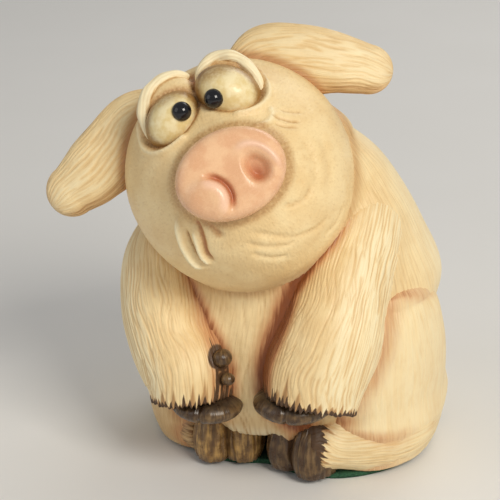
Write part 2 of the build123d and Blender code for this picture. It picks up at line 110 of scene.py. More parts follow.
def sleeve(places, halves, side, around, steady=None, caps=(0.0, 0.0)):
    # rings round a route: place + across * half width * cos(turn) + rise * half height * sin(turn),
    # where the half above the route and the half below it differ; a cap is half of an oval
    along = unit(np.gradient(places, axis=0)) if steady is None else np.tile(steady, (len(places), 1))
    bend = np.radians(np.linspace(90, 0, 14))[:-1]
    for end, cap in ((0, caps[0]), (-1, caps[1])):
        out = along[end] * (1 if end else -1) * halves[end, 0] * cap
        rounding = np.cos(bend)[:, None] * halves[end]
        stretch = places[end] + np.sin(bend)[:, None] * out
        held = np.tile(along[end], (len(bend), 1))
        order = slice(None, None, -1) if end else slice(None)
        pairs = ((stretch, places), (rounding, halves), (held, along))
        joined = [np.vstack([a[order], b][:: -1 if end else 1]) for a, b in pairs]
        places, halves, along = joined
    across = unit(side - along * (along @ side)[:, None])
    rise = np.cross(along, across)
    turn = np.linspace(0, 2 * np.pi, around, endpoint=False)
    half = np.where(np.sin(turn) > 0, halves[:, 1:2], halves[:, 2:3])
    wide = across[:, None] * (halves[:, :1] * np.cos(turn))[..., None]
    return places[:, None] + wide + rise[:, None] * (half * np.sin(turn))[..., None]


def evenly(grid, count, focus=None):
    # the grid with `count` rows, spaced evenly along it, or closer together where focus is high
    step = np.linalg.norm(np.diff(grid, axis=0), axis=2).mean(1)
    if focus is not None:
        step = step * focus((grid[1:] + grid[:-1]).mean(1) / 2)
    reach = np.concatenate([[0], np.cumsum(step + 1e-9)])
    spots = np.linspace(0, reach[-1], count)
    lower = np.clip(np.searchsorted(reach, spots, side="right") - 1, 0, len(reach) - 2)
    t = ((spots - reach[lower]) / (reach[lower + 1] - reach[lower]))[:, None, None]
    return grid[lower] * (1 - t) + grid[lower + 1] * t


def formed(piece, places, halves, side, caps):
    # a sleeve with as many points as a piece's values give
    return evenly(sleeve(places, halves, side, piece["around"], caps=caps), piece["along"])


def outward(grid):
    # the normal of a grid: its step round crossed with its step along
    about = np.roll(grid, -1, axis=1) - np.roll(grid, 1, axis=1)
    normals = unit(np.cross(about, np.gradient(grid, axis=0)))
    for end, inner in ((0, 1), (-1, -2)):
        normals[end] = unit(normals[inner].mean(0))
    return normals


def raised(grid, height):
    # the grid moved along its normals by a height at each point
    return grid + outward(grid) * height[..., None]


def arcs(grid):
    # two lengths in millimetres at each point: round the grid at its girth, and along it
    girth = np.linalg.norm(grid - np.roll(grid, 1, axis=1), axis=2).sum(1).max()
    turn = np.arange(grid.shape[1]) / grid.shape[1] * girth
    reach = np.concatenate([[0], np.cumsum(np.linalg.norm(np.diff(grid, axis=0), axis=2).mean(1))])
    return np.broadcast_to(turn, grid.shape[:2]), np.broadcast_to(reach[:, None], grid.shape[:2]), girth


def noise(a, b, period, seed):
    # random numbers on a lattice that repeats every `period` cells in a, joined by smooth steps
    rows = 257
    values = np.random.default_rng(seed).random((period, rows))
    cellA, cellB = np.floor(a).astype(int), np.floor(b).astype(int)
    partA, partB = a - cellA, b - cellB
    partA, partB = partA**2 * (3 - 2 * partA), partB**2 * (3 - 2 * partB)
    near, far = cellA % period, (cellA + 1) % period
    low, high = cellB % rows, (cellB + 1) % rows
    nearer = values[near, low] * (1 - partB) + values[near, high] * partB
    further = values[far, low] * (1 - partB) + values[far, high] * partB
    return nearer * (1 - partA) + further * partA


def hairs(grid, width, length, seed, sway=1.0):
    # grooves in lanes side by side along a form: a bell across each lane, times a strength that
    # rises and falls along it, so that every groove starts and ends as a point
    turn, reach, girth = arcs(grid)
    lines = np.zeros(grid.shape[:2])
    for share in (1.0, 0.7):
        lanes = max(int(round(girth / (width * share))), 8)
        bends = max(lanes // 6, 3)
        drift = (noise(turn / girth * bends, reach / (length * 1.4), bends, seed + 1) - 0.5) * sway * 3
        phase = turn / girth * lanes + drift / share
        lane = np.floor(phase)
        start = np.random.default_rng(seed + 2).random(lanes)[lane.astype(int) % lanes] * 60
        strength = noise(lane, reach / (length * share) + start, lanes, seed + 3)
        middle = 0.5 + 0.36 * (noise(lane, reach / length * 1.5 + start, lanes, seed + 4) - 0.5)
        groove = bell(phase - lane - middle, 0.25) * ramp(0.25, 0.65, strength)
        lines = np.maximum(lines, groove * share)
    return lines


def spikes(grid, below, count, tall, seed):
    # wedges that stand on an edge and narrow to a point: a half width that falls with `below`, how
    # far a point lies before the edge, less the distance from the wedge's middle
    turn, reach, girth = arcs(grid)
    inked = np.zeros(grid.shape[:2])
    for part in (1.0, 0.6):
        lanes = int(count * part)
        phase = turn / girth * lanes + below * 0.05
        lane = np.floor(phase)
        random = np.random.default_rng(seed + lanes).random((2, lanes))[:, lane.astype(int) % lanes]
        height = tall * (0.2 + 0.8 * random[0] ** 1.5)
        half = 0.58 * np.clip(1 - below / height, 0, 1.4) ** 0.8
        inside = half - np.abs(phase - lane - 0.5 - 0.3 * (random[1] - 0.5))
        inked = np.maximum(inked, ramp(0.02, 0.3, inside))
    return inked


def tufts(grid, below, course, count, tall, seed):
    # the grid with its edge drawn out along a direction by a saw of uneven teeth, times a bell
    turn, reach, girth = arcs(grid)
    phase = turn / girth * count
    random = np.random.default_rng(seed).random(count)[np.floor(phase).astype(int) % count]
    tooth = (1 - 2 * np.abs(phase % 1 - 0.5)) * (0.3 + 0.7 * random)
    return grid + course * (tall * tooth * bell(below, 1.5))[..., None]


def rimOf(grid):
    # how far along a sleeve each point lies before its edge, the last ring of nearly full radius
    reach = arcs(grid)[1]
    radius = np.linalg.norm(grid - grid.mean(1, keepdims=True), axis=2).mean(1)
    last = np.max(np.where(radius > 0.9 * radius[-60:].max()))
    return reach[last, 0] - reach


def distanceTo(points, curve):
    # each point's distance to a line through the curve's points, and how far along it that lies
    best = np.full(points.shape[:-1], 1e9)
    where = np.zeros(points.shape[:-1])
    for index in range(len(curve) - 1):
        start, step = curve[index], curve[index + 1] - curve[index]
        t = np.clip(((points - start) @ step) / (step @ step), 0, 1)
        gap = np.linalg.norm(points - start - t[..., None] * step, axis=-1)
        closer = gap < best
        best = np.where(closer, gap, best)
        where = np.where(closer, (index + t) / (len(curve) - 1), where)
    return best, where


def ovalGap(points, middle, halves):
    # about how far points lie outside a stretched ball, along the way from its middle
    away = points - middle
    size = np.maximum(np.linalg.norm(away / halves, axis=-1), 1e-6)
    return np.linalg.norm(away, axis=-1) * (1 - 1 / size)


def sleeveGap(points, places, halves):
    # about how far points lie outside a round sleeve
    gap, where = distanceTo(points, places[::6])
    radius = np.interp(where * (len(places) - 1), np.arange(len(places)), halves[:, :2].mean(1))
    return gap - radius


def stackGap(points, places, halves):
    # about how far points lie outside oval rings that are stacked straight up
    x, y, z = np.moveaxis(points, -1, 0)
    wide, behind, ahead = [np.interp(z, places[:, 2], half) for half in halves.T]
    x, y = x - np.interp(z, places[:, 2], places[:, 0]), y - np.interp(z, places[:, 2], places[:, 1])
    size = np.maximum(np.hypot(x / wide, y / np.where(y > 0, behind, ahead)), 1e-6)
    gap = np.hypot(x, y) * (1 - 1 / size)
    above = z - places[-1, 2]
    return np.where(above > 0, np.hypot(np.maximum(gap, 0), above), gap)


def meet(grid, neighbours, reach=3.2):
    # the grid raised towards what it meets, by a parabola of the gap, and the paint of each seam, a brown and
    # pink wash that is also a painted shade where pieces meet: a neighbour is its gap, the width of the
    # seam's paint, and the strength of wash and blush
    nearest = np.min([gap for gap, *_ in neighbours], axis=0)
    rise = np.clip(1 - nearest / reach, 0, 1) ** 2 * reach / 4
    wash, blush = np.zeros(grid.shape[:2]), np.zeros(grid.shape[:2])
    # each seam's wash and blush, partly a painted shade where the pieces meet
    for gap, width, washed, blushed in neighbours:
        near = bell(np.maximum(gap, 0), width)
        wash, blush = np.maximum(wash, near * washed), np.maximum(blush, near * blushed)
    return raised(grid, rise), wash, blush


# Brown wash, pink wash, dark stain and pale dry brushing, each 0 to 1; in places the washes and the dark
# stain also carry painted shade and shadow, and the pale brushing carries painted highlights
marks = ("groove", "blush", "stainAndShadow", "pale")


def layOf(grid):
    # a place on a round bar as long as the form, so that a pattern can follow it with no seam
    turn, reach, girth = arcs(grid)
    angle, radius = turn / girth * 2 * np.pi, girth / (2 * np.pi)
    return np.stack([radius * np.cos(angle), radius * np.sin(angle), reach], axis=-1)


def makePiece(name, grids, material, slot, *nodes):
    # grids joined into one closed mesh each: quads between rings and fans at the tips
    points, corners, sizes, lay, paint = [], [], [], [], {mark: [] for mark in marks}
    start = 0
    for grid, marked in grids:
        rows, around = grid.shape[:2]
        points += [grid[:1, 0], grid[1:-1].reshape(-1, 3), grid[-1:, 0]]
        bar = marked.get("lay", layOf(grid))
        lay += [bar[:1, 0], bar[1:-1].reshape(-1, 3), bar[-1:, 0]]
        for mark in marks:
            values = np.broadcast_to(np.clip(marked.get(mark, 0.0), 0, 1), (rows, around))
            paint[mark] += [values[:1, 0], values[1:-1].ravel(), values[-1:, 0]]
        rings = start + 1 + np.arange((rows - 2) * around).reshape(rows - 2, around)
        after = np.roll(rings, -1, axis=1)
        quads = np.stack([rings[:-1], after[:-1], after[1:], rings[1:]], axis=-1).reshape(-1)
        last = start + 1 + (rows - 2) * around
        foot = np.stack([np.full(around, start), after[0], rings[0]], axis=-1).reshape(-1)
        head = np.stack([rings[-1], after[-1], np.full(around, last)], axis=-1).reshape(-1)
        corners += [quads, foot, head]
        sizes += [np.full(len(quads) // 4, 4), np.full(2 * around, 3)]
        start = last + 1
    points, corners, sizes = [np.concatenate(parts) for parts in (points, corners, sizes)]
    mesh = bpy.data.meshes.new(name)
    mesh.vertices.add(len(points))
    mesh.vertices.foreach_set("co", (points * mm).ravel())
    mesh.loops.add(len(corners))
    mesh.loops.foreach_set("vertex_index", corners)
    mesh.polygons.add(len(sizes))
    mesh.polygons.foreach_set("loop_start", np.concatenate([[0], np.cumsum(sizes)[:-1]]))
    mesh.polygons.foreach_set("use_smooth", np.ones(len(sizes), bool))
    mesh.update(calc_edges=True)
    mesh.validate()
    for mark in marks:
        layer = mesh.attributes.new(mark, "FLOAT", "POINT")
        layer.data.foreach_set("value", np.concatenate(paint[mark]))
    layer = mesh.attributes.new("lay", "FLOAT_VECTOR", "POINT")
    layer.data.foreach_set("vector", np.concatenate(lay).ravel())
    mesh.materials.append(material)
    piece = bpy.data.objects.new(name, mesh)
    bpy.context.scene.collection.objects.link(piece)
    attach(piece, "root")
    if nodes:
        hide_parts(*nodes)


class Wire:
    # a value in a shader: sums, differences and products of it add Math nodes
    def __init__(self, paint, socket):
        self.paint, self.socket = paint, socket

    def maths(self, operation, first, second):
        return self.paint.node("ShaderNodeMath", {"operation": operation}, {0: first, 1: second})[0]

    def __add__(self, other):
        return self.maths("ADD", self, other)

    def __sub__(self, other):
        return self.maths("SUBTRACT", self, other)

    def __rsub__(self, other):
        return self.maths("SUBTRACT", other, self)

    def __mul__(self, other):
        return self.maths("MULTIPLY", self, other)

    __radd__, __rmul__ = __add__, __mul__


class Paint:
    # a material and the means to add nodes to it; its patterns lie on Object coordinates
    def __init__(self, name):
        self.material = bpy.data.materials.new(name)
        self.material.use_nodes = True
        self.tree = self.material.node_tree
        self.tree.nodes.clear()
        self.place = self.node("ShaderNodeTexCoord")[3]

    def node(self, kind, settings={}, sockets={}):
        # a node of one kind: its settings first, then the values or links of its sockets
        made = self.tree.nodes.new(kind)
        for name, value in settings.items():
            if name == "stops":
                for index, (position, colour) in enumerate(value):
                    stops = made.color_ramp.elements
                    stop = stops[index] if index < 2 else stops.new(position)
                    stop.position, stop.color = position, colour
            else:
                setattr(made, name, value)
        for name, value in sockets.items():
            if isinstance(value, Wire):
                self.tree.links.new(value.socket, made.inputs[name])
            else:
                made.inputs[name].default_value = value
        return [Wire(self, output) for output in made.outputs]

    def mark(self, name):
        return self.node("ShaderNodeAttribute", {"attribute_name": name})[2]

    def mix(self, factor, first, second):
        return self.node("ShaderNodeMix", {"data_type": "RGBA"}, {0: factor, 6: first, 7: second})[2]

    def over(self, colour, value, low, high, top):
        # a second colour laid over the first where a value climbs from low to high
        return self.mix(self.between(value, low, high), colour, top)

    def noise(self, size, detail=3.0):
        # a noise whose lumps are about `size` millimetres across
        sockets = {"Vector": self.place, "Scale": 1 / (size * mm), "Detail": detail, "Roughness": 0.6}
        return self.node("ShaderNodeTexNoise", {}, sockets)[0]

    def streaks(self, width, length):
        # a noise drawn out along the form
        lay = self.node("ShaderNodeAttribute", {"attribute_name": "lay"})[1]
        scale = (1 / width, 1 / width, 1 / length)
        place = self.node("ShaderNodeMapping", {}, {"Vector": lay, "Scale": scale})[0]
        return self.node("ShaderNodeTexNoise", {}, {"Vector": place, "Scale": 1.0, "Detail": 3.0})[0]

    def between(self, value, low, high):
        # 0 below low and 1 above high
        sockets = {"Value": value, "From Min": low, "From Max": high}
        return self.node("ShaderNodeMapRange", {"interpolation_type": "SMOOTHSTEP"}, sockets)[0]

    def finish(self, colour, roughness, height=None, bump=0.0):
        # the surface and its output, with a bump as many millimetres high as is asked
        sockets = {"Base Color": colour, "Roughness": roughness}
        if height:
            reach = {"Height": height, "Distance": bump * mm, "Strength": 1.0}
            sockets["Normal"] = self.node("ShaderNodeBump", {}, reach)[0]
        surface = self.node("ShaderNodeBsdfPrincipled", {}, sockets)[0]
        self.node("ShaderNodeOutputMaterial", {}, {"Surface": surface})
        return self.material


def tone(red, green, blue):
    # a colour given as on screen, 0 to 255, as the shader counts it
    part = np.array([red, green, blue]) / 255
    linear = np.where(part <= 0.04045, part / 12.92, ((part + 0.055) / 1.055) ** 2.4)
    return (*linear.tolist(), 1.0)


paints = dict(
    cream=tone(237, 206, 151), ivory=tone(246, 220, 168), pale=tone(252, 237, 196), shade=tone(204, 164, 110),
    wash=tone(150, 100, 56), pink=tone(206, 144, 96), crease=tone(134, 72, 30), stainAndShadow=tone(84, 58, 34),
    snout=tone(232, 180, 138), snoutPale=tone(244, 199, 156), snoutDeep=tone(190, 114, 76),
    snoutLit=tone(250, 206, 176),
    eye=tone(232, 208, 148), eyePale=tone(246, 230, 184), eyeEdge=tone(160, 120, 66),
    bead=(0.004, 0.004, 0.006, 1), beadPale=(0.014, 0.014, 0.018, 1),
    hoof=tone(70, 50, 32), hoofPale=tone(122, 96, 62), toe=tone(192, 152, 90), toeDark=tone(126, 94, 54),
    furShadow=tone(34, 24, 16), felt=tone(26, 66, 46), feltPale=tone(50, 98, 68),
    floor=tone(226, 225, 222), floorPale=tone(232, 231, 229),
)
washes = (
    # mark, what it has where no streak lies, where it starts and is full, and its colour
    ("pale", 0.5, 0.1, 0.9, "pale"), ("groove", 0.5, 0.05, 0.8, "shade"), ("groove", 0.4, 0.45, 1.2, "wash"),
    ("blush", 0.5, 0.05, 0.85, "pink"), ("blush", 0.5, 0.45, 0.9, "crease"),
)


def resinPaint():
    # cream with patches and streaks along the form, then the washes from light to dark
    paint = Paint("paintedResin")
    patches, speckle, streaks = paint.noise(7.0), paint.noise(0.8), paint.streaks(0.42, 4.5)
    colour = paint.over(paints["cream"], patches, 0.35, 0.65, paints["ivory"])
    colour = paint.mix(paint.between(streaks, 0.5, 0.8) * 0.3, colour, paints["shade"])
    for mark, base, low, high, top in washes:
        colour = paint.over(colour, paint.mark(mark) * (base + streaks), low, high, paints[top])
    stainAndShadow = paint.mark("stainAndShadow") + (streaks - 0.5) * 0.5
    colour = paint.over(colour, stainAndShadow, 0.3, 0.7, paints["stainAndShadow"])
    return paint.finish(colour, 0.36 + speckle * 0.2, streaks + speckle * 0.5, 0.12)


def snoutPaint():
    # pink with paler patches, with painted shade in its hollows and painted highlights on its swellings and
    # rim
    paint = Paint("snoutPaint")
    grain = paint.noise(0.5)
    colour = paint.over(paints["snout"], paint.noise(3.0), 0.35, 0.68, paints["snoutPale"])
    colour = paint.over(colour, paint.mark("groove"), 0.05, 0.95, paints["snoutDeep"])
    colour = paint.mix(paint.mark("pale"), colour, paints["snoutLit"])
    return paint.finish(colour, 0.2 + grain * 0.14, grain, 0.04)


def eyePaint():
    # yellowish white with clouds, brown where the marks are
    paint = Paint("eyePaint")
    grain = paint.noise(0.5)
    colour = paint.over(paints["eye"], paint.noise(1.6, 4.0), 0.35, 0.65, paints["eyePale"])
    colour = paint.over(colour, paint.mark("groove") * (0.5 + grain), 0.05, 0.9, paints["eyeEdge"])
    return paint.finish(colour, 0.24 + grain * 0.16, grain, 0.05)


def beadPaint():
    # a glossy black
    paint = Paint("pupilBead")
    clouds = paint.noise(0.8, 2.0)
    return paint.finish(paint.mix(clouds, paints["bead"], paints["beadPale"]), 0.06 + clouds * 0.06)


def hoofPaint(name, dark, pale):
    # horn with patches and streaks, darker in its grooves, and with a painted shadow under the fur
    paint = Paint(name)
    patches, streaks = paint.noise(1.8, 4.0), paint.streaks(0.5, 3.0)
    colour = paint.over(dark, patches * 0.6 + streaks * 0.4, 0.42, 0.62, pale)
    colour = paint.over(colour, paint.mark("groove"), 0.1, 1.0, paints["stainAndShadow"])
    # a painted shadow under the fur, laid in where the dark mark is high
    colour = paint.mix(paint.mark("stainAndShadow"), colour, paints["furShadow"])
    return paint.finish(colour, 0.18 + patches * 0.24, streaks, 0.1)


def feltPaint():
    # green with paler fibres
    paint = Paint("greenFelt")
    fibres = paint.noise(0.4, 5.0)
    colour = paint.over(paints["felt"], fibres, 0.35, 0.65, paints["feltPale"])
    return paint.finish(colour, 0.85 + fibres * 0.1, fibres, 0.25)


resin = resinPaint()
snoutMaterial = snoutPaint()
eyeMaterial = eyePaint()
beadMaterial = beadPaint()
hoofMaterial = hoofPaint("hoofPaint", paints["hoof"], paints["hoofPale"])
toeMaterial = hoofPaint("toePaint", paints["toeDark"], paints["toe"])
feltMaterial = feltPaint()
print("materials made")


def bodyRings():
    # the places and half sizes of the body's rings, drawn smoothly through its shares
    table = smoothRows(body["shares"])
    places = onBody(table[:, 1], table[:, 2], table[:, 0])
    return places, table[:, 3:] * [body["width"] / 2, body["depth"] / 2, body["depth"] / 2]


def standing(places, halves, around, along, dome):
    # oval rings stacked straight up, with a flat foot and a rounded top
    grid = sleeve(places, halves, np.array([1.0, 0, 0]), around, np.array([0, 0, 1.0]), (0.0, dome))
    foot = grid[:1].mean(1, keepdims=True).repeat(around, 1)
    return evenly(np.concatenate([foot, grid]), along)


head = dict(
    radius=19.3, width=38.4, crown=19.0, chin=20.6, yaw=14.0, pitch=22.0, roll=26.0,
    place=(-0.216, -0.48, 0.858), around=440, along=190,
    # forward place, half width, half height above and below, for the front half of the head
    frontShares=(
        (0.0, 1.0, 1.0, 1.0), (0.2, 0.985, 0.98, 0.985), (0.42, 0.92, 0.9, 0.93),
        (0.62, 0.81, 0.77, 0.83), (0.79, 0.67, 0.62, 0.7), (0.92, 0.53, 0.47, 0.53),
    ),
    seat=(0.45, 0.36, 0.34), denser=0.8,
    # strokes: width, length and seed; their depth on the face and behind; where behind starts
    fur=(1.0, 6.0, 3), furDepth=0.04, backDepth=0.1, back=(-4, -14),
    # the seam with the body: width, wash and blush; and from how far the head rises to it
    seam=(1.2, 0.55, 0.15), reach=2.0,
)
snout = dict(
    width=18.0, height=14.2, reach=20.4, thickness=3.9, side=-1.0, rise=-1.1, roll=-2.0,
    around=260, along=150, shadow=(9.9, 7.9),
    # shares of the thickness and of the half size, from behind over the edge to the front's middle
    profile=(
        (-0.6, 0.9), (0.0, 0.95), (0.16, 1.0), (0.52, 1.0), (0.8, 0.93), (0.95, 0.8), (1.0, 0.6),
        (1.0, 0.3), (0.98, 0.0),
    ),
    # a slanted oval pocket with a deeper spot and a part of a rim
    nostril=dict(place=(4.3, -0.9), size=(2.1, 2.9), slant=(0.94, 0.34), depth=1.5, deeper=0.4, rim=0.4),
    # a swelling with a crescent sunk round one side of it
    swelling=dict(place=(-4.9, -2.5), size=3.4, height=1.2, ring=3.75, width=0.55, depth=1.2, aim=0.25),
)


def headFrame():
    # rows: across to the pig's left, up to the crown and forward out of the snout
    yaw, pitch, roll = np.radians([head["yaw"], head["pitch"], head["roll"]])
    forward = np.array([np.sin(yaw) * np.cos(pitch), -np.cos(yaw) * np.cos(pitch), np.sin(pitch)])
    level = np.array([np.cos(yaw), np.sin(yaw), 0])
    across = level * np.cos(roll) + np.cross(forward, level) * np.sin(roll)
    return np.array([across, np.cross(forward, across), forward])


headAxes = headFrame()
headPlace = onBody(*head["place"])


def inHead(points):
    # points of the pig in the head's own axes
    return (points - headPlace) @ headAxes.T


def fromHead(points):
    # points in the head's own axes, brought into the pig's
    return np.asarray(points, float) @ headAxes + headPlace


def pebble(middle, halves, turn, around, along):
    # a stretched ball in the head's own axes, turned about the way forward
    sweep = np.linspace(0, np.pi, along)[:, None]
    spin = np.linspace(0, 2 * np.pi, around, endpoint=False)[None]
    x, y = halves[0] * np.sin(sweep) * np.cos(spin), halves[1] * np.sin(sweep) * np.sin(spin)
    z = np.broadcast_to(-halves[2] * np.cos(sweep), x.shape)
    return np.stack([*turned(x, y, np.radians(turn)), z], -1) + middle


lids = dict(
    depth=9.4, blend=2.2,
    # place and size of the mound; rise, direction and reach of the lid's ring round the eye
    left=dict(middle=(3.9, 11.5, 9.8), size=(11.6, 12.0), ring=(0.75, -0.35, 0.0, 0.4)),
    right=dict(middle=(-4.9, 11.7, 9.6), size=(12.4, 13.4), ring=(0.85, -2.44, 0.2, 0.6)),
    # how far from the eyeball the ring and the sunk line lie, and their half widths
    ringPlace=(1.25, 0.6), sunkPlace=(0.1, 0.5), sunk=0.5,
)


def headForm():
    # half a stretched ball behind, oval rings in front that close in to the snout, and a flat seat
    turns = np.radians(np.linspace(0, 90, 40))[:-1]
    back = np.stack([-np.cos(turns), np.sin(turns), np.sin(turns), np.sin(turns)], -1)
    table = np.concatenate([back, smoothRows(head["frontShares"])])
    shift = np.maximum(table[:, :1], 0) ** 4 * [[snout["side"], snout["rise"]]]
    seat = [snout["reach"] / head["radius"], *head["seat"]]
    table = np.vstack([table, seat, [seat[0], 0, 0, 0]])
    shift = np.vstack([shift, [[snout["side"], snout["rise"]]] * 2])
    places = np.column_stack([shift, table[:, 0] * head["radius"]])
    turn = np.linspace(0, 2 * np.pi, head["around"], endpoint=False)
    tall = np.where(np.sin(turn) > 0, table[:, 2:3] * head["crown"], table[:, 3:4] * head["chin"])
    wide = table[:, 1:2] * head["width"] / 2
    ring = np.stack([wide * np.cos(turn), tall * np.sin(turn), np.zeros_like(tall)], -1)
    grid = places[:, None] + ring
    return evenly(grid, head["along"], lambda middle: 1 + head["denser"] * (middle[:, 2] > 0))


def swollen(grid, middle, halves, blend):
    # pushes a ball's points out from its middle to a stretched ball that stands out of it
    reach, aim = np.linalg.norm(grid, axis=-1), unit(grid)
    a = ((aim / halves) ** 2).sum(-1)
    b = (aim * middle / np.square(halves)).sum(-1)
    c = (np.square(middle) / np.square(halves)).sum() - 1
    inside = b * b - a * c
    hit = np.where((inside > 0) & (b > 0), (b + np.sqrt(np.maximum(inside, 0))) / a, 0)
    return aim * smoothMax(reach, hit, blend)[..., None]


def onFace(grid, curve):
    # pairs of a side and a rise put on the face: the mean of near points, weighed by a bell
    flat = grid[(grid[..., 2] > 5)]
    curve = smoothRows(curve, 6)
    weight = np.exp(-(((curve[:, None] - flat[None, :, :2]) / 0.35) ** 2).sum(-1)) + 1e-30
    return np.column_stack([curve, weight @ flat[:, 2] / weight.sum(1)])


folds = dict(
    # raised and sunk lines of the face: height, half width, and the side and rise of their points
    notch=(-1.0, 0.75, ((-0.3, 18.4), (-0.2, 16.4), (-0.3, 14.2))),
    underLid=(0.5, 0.6, ((8.8, 6.6), (9.0, 4.9), (7.4, 4.0), (4.8, 4.5))),
    lip=(1.2, 0.5, ((-11.5, -3.0), (-12.4, -5.6), (-12.8, -8.2), (-12.5, -10.6), (-11.3, -13.0))),
    innerLip=(0.6, 0.4, ((-10.3, -6.2), (-10.7, -8.4), (-11.0, -10.6), (-10.3, -12.6))),
    lipLine=(-0.5, 0.3, ((-11.3, -5.2), (-11.7, -8.2), (-11.6, -10.7), (-10.7, -12.8))),
    smile=(-0.6, 0.5, ((-9.7, -4.6), (-9.3, -6.4), (-9.7, -8.8), (-10.1, -10.6), (-9.5, -12.6))),
    mouth=(-0.4, 1.0, ((-9.2, -4.6), (-8.2, -6.2), (-7.2, -7.8), (-6.9, -9.8))),
    eyeWrinkleA=(-0.3, 0.33, ((8.4, 5.0), (9.8, 3.9), (11.3, 2.7), (12.9, 2.0))),
    eyeWrinkleB=(-0.28, 0.33, ((8.6, 3.6), (10, 2.3), (12.2, 1.3))),
    eyeWrinkleC=(-0.22, 0.33, ((10.3, 5.4), (11.8, 4.2), (13.8, 3.4))),
    snoutLineA=(-0.13, 0.45, ((9.2, -1.9), (11.1, -2.0), (13.0, -2.4))),
    snoutLineB=(-0.13, 0.45, ((9.0, -3.2), (10.8, -3.6), (12.6, -4.4))),
    snoutLineC=(-0.13, 0.45, ((8.6, -4.4), (10.5, -5.2), (12.0, -6.4))),
    snoutLineD=(-0.13, 0.45, ((7.6, -5.9), (9.1, -7.2))),
    cheekOuter=(-0.25, 1.1, ((14.6, -0.2), (14.4, -3.7), (13.5, -7.1), (11.6, -10.4))),
    cheekInner=(-0.28, 1.1, ((11.6, 0.1), (12, -2.7), (11.6, -5.7), (10, -8.5), (7.5, -10.0))),
    underSnout=(-0.3, 0.6, ((3.9, -8.9), (6.3, -9.6), (8.6, -9.2), (10.1, -7.8))),
    chinA=(-0.35, 0.6, ((-2.6, -10.2), (0.4, -12.4), (3.9, -14.3), (7.9, -14.5), (10.5, -13.4))),
    chinB=(-0.3, 0.55, ((-3.8, -11.7), (-1.5, -13.5), (1.8, -14.9), (4.4, -15.0))),
    chinC=(-0.3, 0.55, ((-3.8, -13.6), (-1.2, -15.6), (1.8, -16.7))),
    jowl=(-0.3, 0.7, ((8.1, -16.2), (11.1, -15.0), (13.4, -12.8))),
)
# Which folds take which paint, and how strongly; the pale on the lip folds also paints their highlight
foldPaints = dict(
    # pale dry brushing, which on the lip also serves as a painted highlight
    pale=dict(lip=1.0, innerLip=1.0, underLid=0.6),
    blush=dict(notch=0.5, smile=0.5, mouth=0.3),
    groove=dict(
        notch=1.0, lipLine=0.9, smile=1.0, mouth=0.8, eyeWrinkleA=0.55, eyeWrinkleB=0.5, eyeWrinkleC=0.4,
        snoutLineA=0.22, snoutLineB=0.22, snoutLineC=0.22, snoutLineD=0.2, cheekOuter=0.15, cheekInner=0.2,
        underSnout=0.35, chinA=0.28, chinB=0.28, chinC=0.25, jowl=0.25,
    ),
)


def drawFolds(grid):
    # the height that the folds add, each a bell across its line that fades at both ends
    height, paint = np.zeros(grid.shape[:2]), {mark: np.zeros(grid.shape[:2]) for mark in foldPaints}
    for name, (rise, width, curve) in folds.items():
        gap, where = distanceTo(grid, onFace(grid, curve))
        fold = bell(gap, width) * ramp(0, 0.2, where) * ramp(0, 0.2, 1 - where)
        height += rise * fold
        for mark, strengths in foldPaints.items():
            paint[mark] = np.maximum(paint[mark], fold * strengths.get(name, 0))
    return height, paint


def eyeGap(grid, side):
    # how far the head's points lie outside an eyeball, and the direction round it
    eye = eyes[side]
    x, y, z = np.moveaxis(grid - eye["middle"], -1, 0)
    points = np.stack([*turned(x, y, -np.radians(eye["turn"])), z], -1)
    return ovalGap(points, 0, np.array([*eye["size"], eyes["depth"]]) / 2), np.arctan2(y, x)


def headGap(points):
    # about how far points lie outside the head, taken as a ball stretched apart above and below
    away = inHead(points)
    tall = np.where(away[..., 1] > 0, head["crown"], head["chin"])
    halves = np.stack([0 * tall + head["width"] / 2, tall, 0 * tall + head["radius"]], -1)
    return ovalGap(away, 0, halves)


brows = dict(
    width=2.3, lift=0.4, sink=0.8, around=48, along=100, fur=(0.8, 4.0, 13), furDepth=0.08,
    # how high the uneven lumps are, how long, how many go round, and their seed
    lump=0.3, lumpLength=1.7, lumps=3, lumpSeed=7,
    # side, rise and forward place in shares of the head's half width, crown and radius
    left=(
        (0.03, 0.83, 0.56), (0.104, 0.895, 0.57), (0.26, 0.915, 0.55), (0.4, 0.82, 0.59),
        (0.475, 0.65, 0.63), (0.484, 0.52, 0.68),
    ),
    right=(
        (-0.55, 0.56, 0.63), (-0.535, 0.653, 0.63), (-0.5, 0.758, 0.62), (-0.417, 0.865, 0.61),
        (-0.286, 0.935, 0.57), (-0.141, 0.95, 0.53), (-0.05, 0.915, 0.5),
    ),
)


def browRings(side):
    # a round cord, thinner at both ends, in the head's axes
    table = smoothRows(brows[side])
    arch = np.sin(np.linspace(0.12, np.pi - 0.12, len(table)))[:, None] ** 0.7
    places = table * [head["width"] / 2, head["crown"], head["radius"]]
    lift = brows["lift"] * arch - brows["sink"] * (1 - arch)
    return places + lift * unit(places), brows["width"] / 2 * (0.4 + 0.6 * arch) * [1, 1, 1]


def makeBrow(side):
    # a sleeve round the brow's cord with lumps and strokes, pale on top and brown below, a dry brushing and
    # wash that also paint a highlight on top and a shade below
    places, halves = browRings(side)
    grid = formed(brows, places, halves, np.array([0, 0, 1.0]), (0.8, 0.8))
    turn, reach, girth = arcs(grid)
    lumps = brows["lumps"]
    lump = noise(turn / girth * lumps, reach / brows["lumpLength"], lumps, brows["lumpSeed"]) - 0.5
    fur = hairs(grid, *brows["fur"])
    grid = raised(grid, brows["lump"] * lump - brows["furDepth"] * fur)
    # painted highlight on the cord's outer side and painted shade on the side that faces the head
    below = ramp(0.3, -0.6, (outward(grid) * unit(places.mean(0))).sum(-1))
    return fromHead(grid), {"pale": 1 - below, "groove": np.maximum(below * 0.8, fur * 0.35)}


